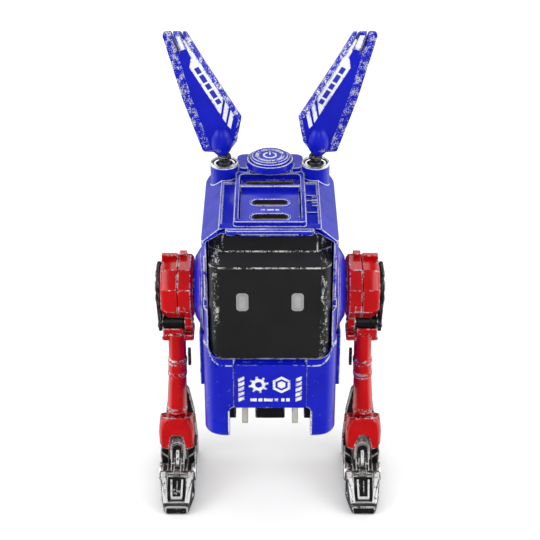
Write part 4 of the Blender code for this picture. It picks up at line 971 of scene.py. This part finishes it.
def build_hub(name, side):
    body = f"hub_{name}"
    knee = middle(f"knee_pin_{name}")[1:]
    axle_bore = ring_points(*HIP, 2.2)
    pin_bore = ring_points(*knee, 1.2)
    low, high = 19.0, 22.8
    inner = ((low, 0.9), (low + 0.7, 1.0), (high, 1.0))
    for part, x, y, z in (("knee_lug", (19.6, 21.6), (-3.0, -1.9), (49.0, 54.0)),
                          ("tab_inner", (20.7, 22.6), (1.0, 3.0), (66.0, 68.05)),
                          ("tab_outer", (23.15, 27.0), (0.5, 2.0), (66.0, 67.9)),
                          ("drum_pad", (21.0, 22.7), (-7.9, -7.2), (56.5, 58.0))):
        piece(f"{part}_{name}", body, "red", block(reach_x(side, *x), y, z), bevel=0.16)
    cuts = [side_prism(axle_bore, side, 18.0, 28.5), side_prism(pin_bore, side, 19.0, 22.5)]
    link = side_prism(strap((knee[0], HIP_Z - 4), 3.2, knee, 2.4), side, 19.6, 21.6)
    piece(f"drum_half_inner_{name}", body, "red", loft(drum_rings(side, inner)), cuts, [link],
          bevel=0.17, hides=[f"drum_inner_{name}"])
    low, high = 22.92, 27.2
    outer = ((low, 1.0), (high - 1.7, 1.0), (high - 0.25, 0.89), (high, 0.86))
    cuts = [side_prism(axle_bore, side, 18.0, 28.5)]
    for turn in (90, 210, 330):
        y = 6.2 * math.cos(math.radians(turn))
        z = HIP_Z + 6.2 * math.sin(math.radians(turn))
        cuts.append(side_prism(ring_points(y, z, 0.55, 20), side, 26.6, 28.5))
    piece(f"drum_half_outer_{name}", body, "red", loft(drum_rings(side, outer)), cuts,
          bevel=0.17, hides=[f"drum_outer_{name}"])

    plate = side_prism(strap(HIP, 6.2, knee, 2.4), side, 27.5, 28.3)
    plate_cuts = [side_prism(pin_bore, side, 27.0, 29.0),
                  side_prism(oblong(-1.3, 0.9, 51.6, 53.2, 0.5), side, 28.05, 29),
                  side_prism(ring_points(*HIP, 5.75), side, 28.15, 29)]
    dome = [(0, 27.8), (5.3, 27.8), (5.3, 28.3), (4.95, 28.5), (4.4, 28.5), (4.25, 28.35), (3.0, 28.55),
            (2.8, 28.85), (0, 28.9)]
    piece(f"thigh_plate_{name}", body, "black", plate, plate_cuts, [side_turned(dome, side, HIP)],
          bevel=0.16, hides=[f"hub_cover_{name}"])
    for number in range(6):
        start = number * 60 + 12
        outline = arc_points(*HIP, 4.15, start, start + 36, 6) + arc_points(*HIP, 3.1, start + 36, start, 6)
        wedge = side_prism(outline, side, 28.2, 28.72)
        piece(f"cap_segment_{number + 1}_{name}", body, "grey", wedge, bevel=0.08)
    bolt = [(0, 28.0), (1.5, 28.0), (1.5, 28.5), (1.2, 28.75), (0, 28.75)]
    hexagon = side_prism(ring_points(*knee, 0.7, 6), side, 28.45, 29)
    piece(f"knee_bolt_{name}", body, "silver", side_turned(bolt, side, knee), [hexagon], bevel=0.08)
    carry(f"knee_pin_{name}", "steel", 0.1)


# ---- lower legs ----

# Height and radius of each ring of the leg's tube, from the foot up.
TUBE_RINGS = ((19.3, 2.6), (23.2, 2.6), (23.4, 2.75), (24.1, 2.75), (24.3, 2.6), (28.0, 2.5), (34.1, 2.3),
              (34.3, 2.5), (35.2, 2.5), (35.35, 2.4), (38.2, 2.4), (38.35, 2.5), (39.3, 2.5), (39.5, 2.25),
              (46.8, 2.25), (47.3, 2.0))
TUBE_LEAN = 0.75                # how far outwards the tube stands, LEAN_HEIGHT below LEAN_TOP
LEAN_TOP = 42.0
LEAN_HEIGHT = 19.0


def build_shank(name, side):
    body = f"lower_leg_{name}"
    knee = middle(f"knee_pin_{name}")[1:]
    collar = oblong(*reach_x(side, 19.4, 27.2), -3.8, 2.5, 0.5)
    joins = [
        prism(collar, "Z", 45.3, 46.9),
        block(reach_x(side, 22.0, 27.2), (-3.75, knee[0]), (46.4, 48.8)),
    ]
    cradle = side_prism(ring_points(*knee, 2.7), side, 18.5, 28.0)
    rings = []
    for z, radius in TUBE_RINGS:
        lean = TUBE_LEAN * max(0.0, LEAN_TOP - z) / LEAN_HEIGHT
        circle = ring_points(side * (23.7 + lean), -2.5, radius, 40)
        rings.append([(x, y, z) for x, y in circle])
    piece(f"shank_tube_{name}", body, "red", loft(rings), [cradle], joins, bevel=0.16,
          hides=[f"shank_{name}"])
    start, end = side * 21.9, side * 27.2
    profile = [(1.2, start), (2.1, start), (2.4, start + side * 0.3), (2.4, end - side * 2.2),
               (2.2, end - side * 2.1), (2.2, end - side * 1.7), (2.4, end - side * 1.6),
               (2.4, end - side * 0.3), (2.1, end), (1.2, end)]
    piece(f"knee_roll_{name}", body, "black", turned(profile, "X", knee), bevel=0.14,
          hides=[f"knee_barrel_{name}"])
    link = oblong(-3.3, -1.5, 37.1, 42.1, 0.7)
    hole = side_prism(ring_points(-2.4, 38.3, 0.4, 24), side, 19.5, 21.5)
    piece(f"side_link_{name}", body, "black", side_prism(link, side, 20.35, 21.1), [hole],
          bevel=0.16, hides=[f"shank_link_{name}"])


def build_hood(name):
    body = f"lower_leg_{name}"
    centre_x, ankle_y, ankle_z = middle(f"ankle_pin_{name}")
    low, high = 12.8, 22.7
    sizes = ((low, 3.9, 4.3), (low + 0.5, 4.3, 4.75), (low + 1.6, 4.6, 4.95), (18.0, 4.7, 5.0),
             (19.6, 4.55, 4.9), (20.9, 4.2, 4.6), (22.0, 3.6, 4.2), (high, 3.1, 3.8))
    rings = []
    for z, half_x, half_y in sizes:
        plan = oblong(centre_x - half_x, centre_x + half_x, ankle_y - half_y, ankle_y + half_y, 1.8)
        rings.append([(x, y, z) for x, y in plan])
    across = (centre_x - 2.1, centre_x + 2.1)
    front = ankle_y - 3.8
    arch = [(centre_x - 2.1, low - 3), (centre_x + 2.1, low - 3), (centre_x + 2.1, 14.6),
            (centre_x + 1.4, 17.8), (centre_x - 1.4, 17.8), (centre_x - 2.1, 14.6)]
    slope = [(ankle_y - 3.4, high - 0.05), (ankle_y + 8, 16.4), (ankle_y + 8, high + 2),
             (ankle_y - 3.4, high + 2)]
    cuts = [
        block(across, (front, ankle_y + 6), (low - 1, 19.6)),
        prism(rounded(arch, [0, 0, 1.5, 1.2, 1.2, 1.5]), "Y", ankle_y - 6, front + 1),
        prism(slope, "X", centre_x - 6, centre_x + 6),
        prism(ring_points(ankle_y, ankle_z, 1.3), "X", centre_x - 4.1, centre_x + 4.1),
    ]
    for turn in (-1, 1):
        recess = sorted((centre_x + turn * 4.3, centre_x + turn * 5.5))
        cuts.append(prism(ring_points(ankle_y, ankle_z, 2.0), "X", *recess))
    piece(f"hood_{name}", body, "red", loft(rings), cuts, bevel=0.24, hides=[f"ankle_hood_{name}"])
    for end, turn in (("a", -1), ("b", 1)):
        face = centre_x + turn * 4.25
        head = [(0, face - turn * 0.2), (1.55, face - turn * 0.2), (1.55, face + turn * 0.15),
                (1.3, face + turn * 0.33), (0, face + turn * 0.33)]
        slot = block(sorted((face + turn * 0.1, face + turn)), (ankle_y - 1.1, ankle_y + 1.1),
                     (ankle_z - 0.17, ankle_z + 0.17))
        screw = turned(head, "X", (ankle_y, ankle_z), steps=36)
        piece(f"hood_screw_{end}_{name}", body, "steel", screw, [slot], bevel=0.06)
    carry(f"ankle_pin_{name}", "steel", 0.15)


# ---- feet ----

def build_foot(name):
    """The foot: its sole and instep, the neck up to the ankle, and the tall heel plate."""
    body = f"foot_{name}"
    centre, *ankle = middle(f"ankle_pin_{name}")
    hinge = middle(f"toe_pin_{name}")[1:]
    sole = prism(oblong(centre - 4.4, centre + 4.4, -4.4, 6.7, 0.8), "Z", 0.0, 2.0)
    tongue = arc_points(*hinge, 2.5, 90, 270, 14)
    outline = tongue + [(-4.2, 1.2), (5.8, 1.2), (5.8, 4.4), (1.6, 8.2), (-0.6, 11.6), (-4.6, 11.6)]
    instep = prism(outline, "X", centre - 1.8, centre + 1.8)
    cuts = [
        prism(ring_points(*hinge, 1.2), "X", centre - 3, centre + 3),
        block((centre - 0.7, centre + 0.7), (-12.0, -6.2), (6.8, 9.4)),
        prism(oblong(2.2, 5.0, 2.6, 4.2, 0.4), "X", centre - 4, centre + 4),
    ]
    piece(f"foot_base_{name}", body, "foot", sole, cuts, [instep], bevel=0.28,
          hides=[f"foot_frame_{name}"])
    neck = arc_points(*ankle, 2.1, 0, 180, 18) + [(-4.4, 10.8), (-0.8, 10.8)]
    piece(f"ankle_neck_{name}", body, "silver", prism(neck, "X", centre - 1.4, centre + 1.4),
          [prism(ring_points(*ankle, 1.2), "X", centre - 3, centre + 3)], bevel=0.35)
    for part, look, half, y in (("dome", "foot", 1.55, (-5.6, -4.7)),
                                ("dome_rim", "rail", 1.95, (-5.2, -4.5))):
        outline = [(centre - half - 0.25, 8.2), (centre + half + 0.25, 8.2)]
        outline += arc_points(centre, 12.0, half, 0, 180, 14)
        piece(f"instep_{part}_{name}", body, look, prism(outline, "Y", *y), bevel=0.14)
    rod = beam((centre, -5.5, 11.6), (centre, -7.6, 8.3), 0.42, 0.42)
    piece(f"instep_rod_{name}", body, "rail", rod, bevel=0.15)
    for end, turn in (("a", -1), ("b", 1)):
        step = block(sorted((centre + turn * 1.75, centre + turn * 3.6)), (-2.6, 4.6), (1.6, 3.6))
        piece(f"instep_rib_{end}_{name}", body, "foot", step, bevel=0.4)
        guard = [(centre + turn * 2.3, 1.0), (centre + turn * 4.6, 1.0), (centre + turn * 4.75, 10.1),
                 (centre + turn * 2.5, 8.2)]
        piece(f"ankle_guard_{end}_{name}", body, "foot", prism(guard, "Y", -4.3, -1.2), bevel=0.3)

    heel_low, heel_high = span(f"heel_plate_{name}")
    heel = [(4.6, 0.0), (4.6, 6.0), (3.85, 15.0), (2.6, 22.0), (1.8, 23.0)]
    heel = heel + [(-x, z) for x, z in reversed(heel)]
    outline = rounded([(centre + x, z) for x, z in heel], [0.5, 0, 0, 1.2, 0.6, 0.6, 1.2, 0, 0, 0.5], 5)
    slot = oblong(centre - 1.3, centre + 1.3, 12.0, 20.5, 1.25)
    cuts = [prism(slot, "Y", heel_low.y - 1, heel_high.y + 1)]
    for y in ((heel_low.y - 1, heel_low.y + 0.3), (heel_high.y - 0.3, heel_high.y + 1)):
        panel = [(centre - 3.3, 2.2), (centre + 3.3, 2.2), (centre + 2.9, 10.2), (centre - 2.9, 10.2)]
        cuts.append(prism(rounded(panel, 0.6), "Y", *y))
    piece(f"heel_{name}", body, "foot", prism(outline, "Y", heel_low.y, heel_high.y), cuts,
          bevel=0.32, hides=[f"heel_plate_{name}"])
    carry(f"toe_pin_{name}", "steel", 0.3)


def build_toe(name):
    """The hinged toe: a sloping wedge with a well in its top, framed by bright rails."""
    body = f"toe_{name}"
    centre = middle(f"ankle_pin_{name}")[0]
    hinge = middle(f"toe_pin_{name}")[1:]
    back = hinge[0] - 2.9
    rings = []
    for y, half_x, top in ((back, 4.5, 8.2), (-12.2, 4.3, 7.4), (-17.2, 3.3, 3.4), (-18.0, 2.9, 2.4)):
        section = oblong(centre - half_x, centre + half_x, 0.0, top, 0.7)
        rings.append([(x, y, z) for x, z in section])
    well = [(-10.9, 7.1), (-12.2, 6.6), (-16.9, 2.9), (-17.1, 9.0), (-10.9, 11.0)]
    joins = []
    cuts = [
        prism(ring_points(*hinge, 1.2), "X", centre - 5, centre + 5),
        prism(well, "X", centre - 2.75, centre + 2.75),
    ]
    for turn in (-1, 1):
        arm = [(back - 1, hinge[1] - 2.2), (hinge[0], hinge[1] - 2.2)]
        arm += arc_points(*hinge, 2.2, -85, 85, 12)
        arm += [(hinge[0], hinge[1] + 2.2), (back - 1, hinge[1] + 2.0)]
        joins.append(prism(arm, "X", *sorted((centre + turn * 2.4, centre + turn * 4.1))))
        flute = [(-10.9, 2.2), (-16.4, 1.3), (-16.4, 2.2), (-10.9, 4.6)]
        cuts.append(prism(flute, "X", *sorted((centre + turn * 4.0, centre + turn * 6))))
    piece(f"toe_wedge_{name}", body, "foot", loft(rings), cuts, joins, bevel=0.3,
          hides=[f"toe_{name}"])
    for end, turn in (("a", -1), ("b", 1)):
        rail = beam((centre + turn * 3.7, back - 0.1, 8.05), (centre + turn * 3.5, -12.3, 7.3), 0.62, 0.38)
        slope = beam((centre + turn * 3.55, -12.1, 7.4), (centre + turn * 2.8, -17.3, 3.25), 0.6, 0.38)
        piece(f"toe_rail_{end}_{name}", body, "rail", rail, (), [slope], bevel=0.16)
        knuckle = [(1.75, 4.05), (2.35, 4.05), (2.5, 4.3), (2.3, 4.8), (1.9, 4.95), (1.75, 4.9)]
        profile = [(radius, centre + turn * x) for radius, x in knuckle]
        piece(f"toe_knuckle_{end}_{name}", body, "silver", turned(profile, "X", hinge), bevel=0.1)
    bars = [beam((centre + turn * 1.45, -11.9, 6.75), (centre + turn * 1.3, -15.7, 3.95), 0.24, 0.3)
            for turn in (-1, 1)]
    cross = block((centre - 1.5, centre + 1.5), (-16.1, -15.5), (3.3, 4.05))
    piece(f"toe_frame_{name}", body, "rail", cross, (), bars, bevel=0.1)
    line = beam((centre + 0.1, -12.2, 6.5), (centre + 0.1, -14.6, 4.75), 0.12, 0.2)
    piece(f"toe_line_{name}", body, "silver", line, bevel=0.05)
    bridge = block((centre - 1.1, centre + 1.1), (-11.3, back + 0.3), (7.0, 8.5))
    piece(f"toe_bridge_{name}", body, "silver", bridge, bevel=0.2)
    edge = [(-17.7, 2.55), (-17.1, 3.55), (-16.75, 3.5), (-17.4, 2.2)]
    piece(f"toe_edge_{name}", body, "silver", prism(edge, "X", centre - 2.7, centre + 2.7), bevel=0.15)


# ---- camera, floor and light ----

AMBIENT = 0.92                  # strength of the even light
ROOM, WALLS = 0.06, 1.5         # strength of the dim room and of its bright walls, in reflections


def light_up(tree, background):
    """Even light for matt surfaces; reflections see a dim room with bright walls, wider at the back."""
    nodes = Graph(tree)
    split = nodes.add("ShaderNodeSeparateXYZ")
    nodes.link(nodes.add("ShaderNodeTexCoord").outputs["Generated"], split.inputs["Vector"])
    sideways = nodes.math("ABSOLUTE", split.outputs["X"], 0.0)
    behind = nodes.math("MULTIPLY", split.outputs["Y"], 0.3)
    walls = nodes.remap(nodes.math("ADD", behind, sideways), 0.60, 0.86, ROOM, WALLS)
    choice = nodes.add("ShaderNodeMix", data_type="FLOAT")
    choice.inputs["A"].default_value = AMBIENT
    nodes.link(nodes.add("ShaderNodeLightPath").outputs["Is Glossy Ray"], choice.inputs["Factor"])
    nodes.link(walls, choice.inputs["B"])
    nodes.link(choice.outputs["Result"], background.inputs["Strength"])


def build_stage():
    floor_mesh = bmesh.new()
    bmesh.ops.create_grid(floor_mesh, x_segments=1, y_segments=1, size=3000)
    floor = store("floor", floor_mesh)
    nodes = Nodes("pale_floor")
    nodes.shader.inputs["Base Color"].default_value = (0.93, 0.93, 0.93, 1.0)
    nodes.shader.inputs["Roughness"].default_value = 0.9
    nodes.shader.inputs["Specular IOR Level"].default_value = 0.1
    floor.data.materials.append(nodes.material)
    floor.location.z = -0.0002
    floor.visible_glossy = False

    world = bpy.data.worlds.new("studio")
    bpy.context.scene.world = world
    world.use_nodes = True
    background = world.node_tree.nodes["Background"]
    background.inputs["Color"].default_value = (1.0, 1.0, 1.0, 1.0)
    light_up(world.node_tree, background)

    target = Vector((0.0, 0.0, AIM_HEIGHT)) * MM
    for name, place_at, size, power in (("left", (-420, -180, 330), 320, 0.9),
                                        ("right", (420, -180, 330), 320, 0.9),
                                        ("front", (0, -480, 420), 260, 0.5),
                                        ("back", (0, 380, 420), 300, 0.5)):
        lamp = bpy.data.lights.new("softbox_" + name, "AREA")
        lamp.size = size * MM
        lamp.energy = power
        holder = bpy.data.objects.new("softbox_" + name, lamp)
        holder.location = Vector(place_at) * MM
        holder.rotation_euler = (holder.location - target).to_track_quat("Z", "Y").to_euler()
        holder.visible_camera = False
        bpy.context.scene.collection.objects.link(holder)

    elevation = math.radians(CAMERA_ELEVATION)
    back = Vector((0.0, -math.cos(elevation), math.sin(elevation)))
    camera = bpy.data.cameras.new("camera")
    camera.lens = CAMERA_LENS
    camera.sensor_width = 36.0
    camera.clip_start = 0.01
    holder = bpy.data.objects.new("camera", camera)
    holder.location = target + back * CAMERA_DISTANCE * MM
    holder.rotation_euler = back.to_track_quat("Z", "Y").to_euler()
    bpy.context.scene.collection.objects.link(holder)
    bpy.context.scene.camera = holder
    bpy.context.scene.view_settings.view_transform = "Standard"


def build():
    build_shell()
    build_front_plate()
    build_top_cover()
    build_port_panel()
    build_button()
    build_visor()
    build_base()
    build_inside()
    for name, side in SIDES:
        build_ear(name, side)
        build_hip(name, side)
        build_hub(name, side)
        build_shank(name, side)
        build_hood(name)
        build_foot(name)
        build_toe(name)
    build_stage()


build()
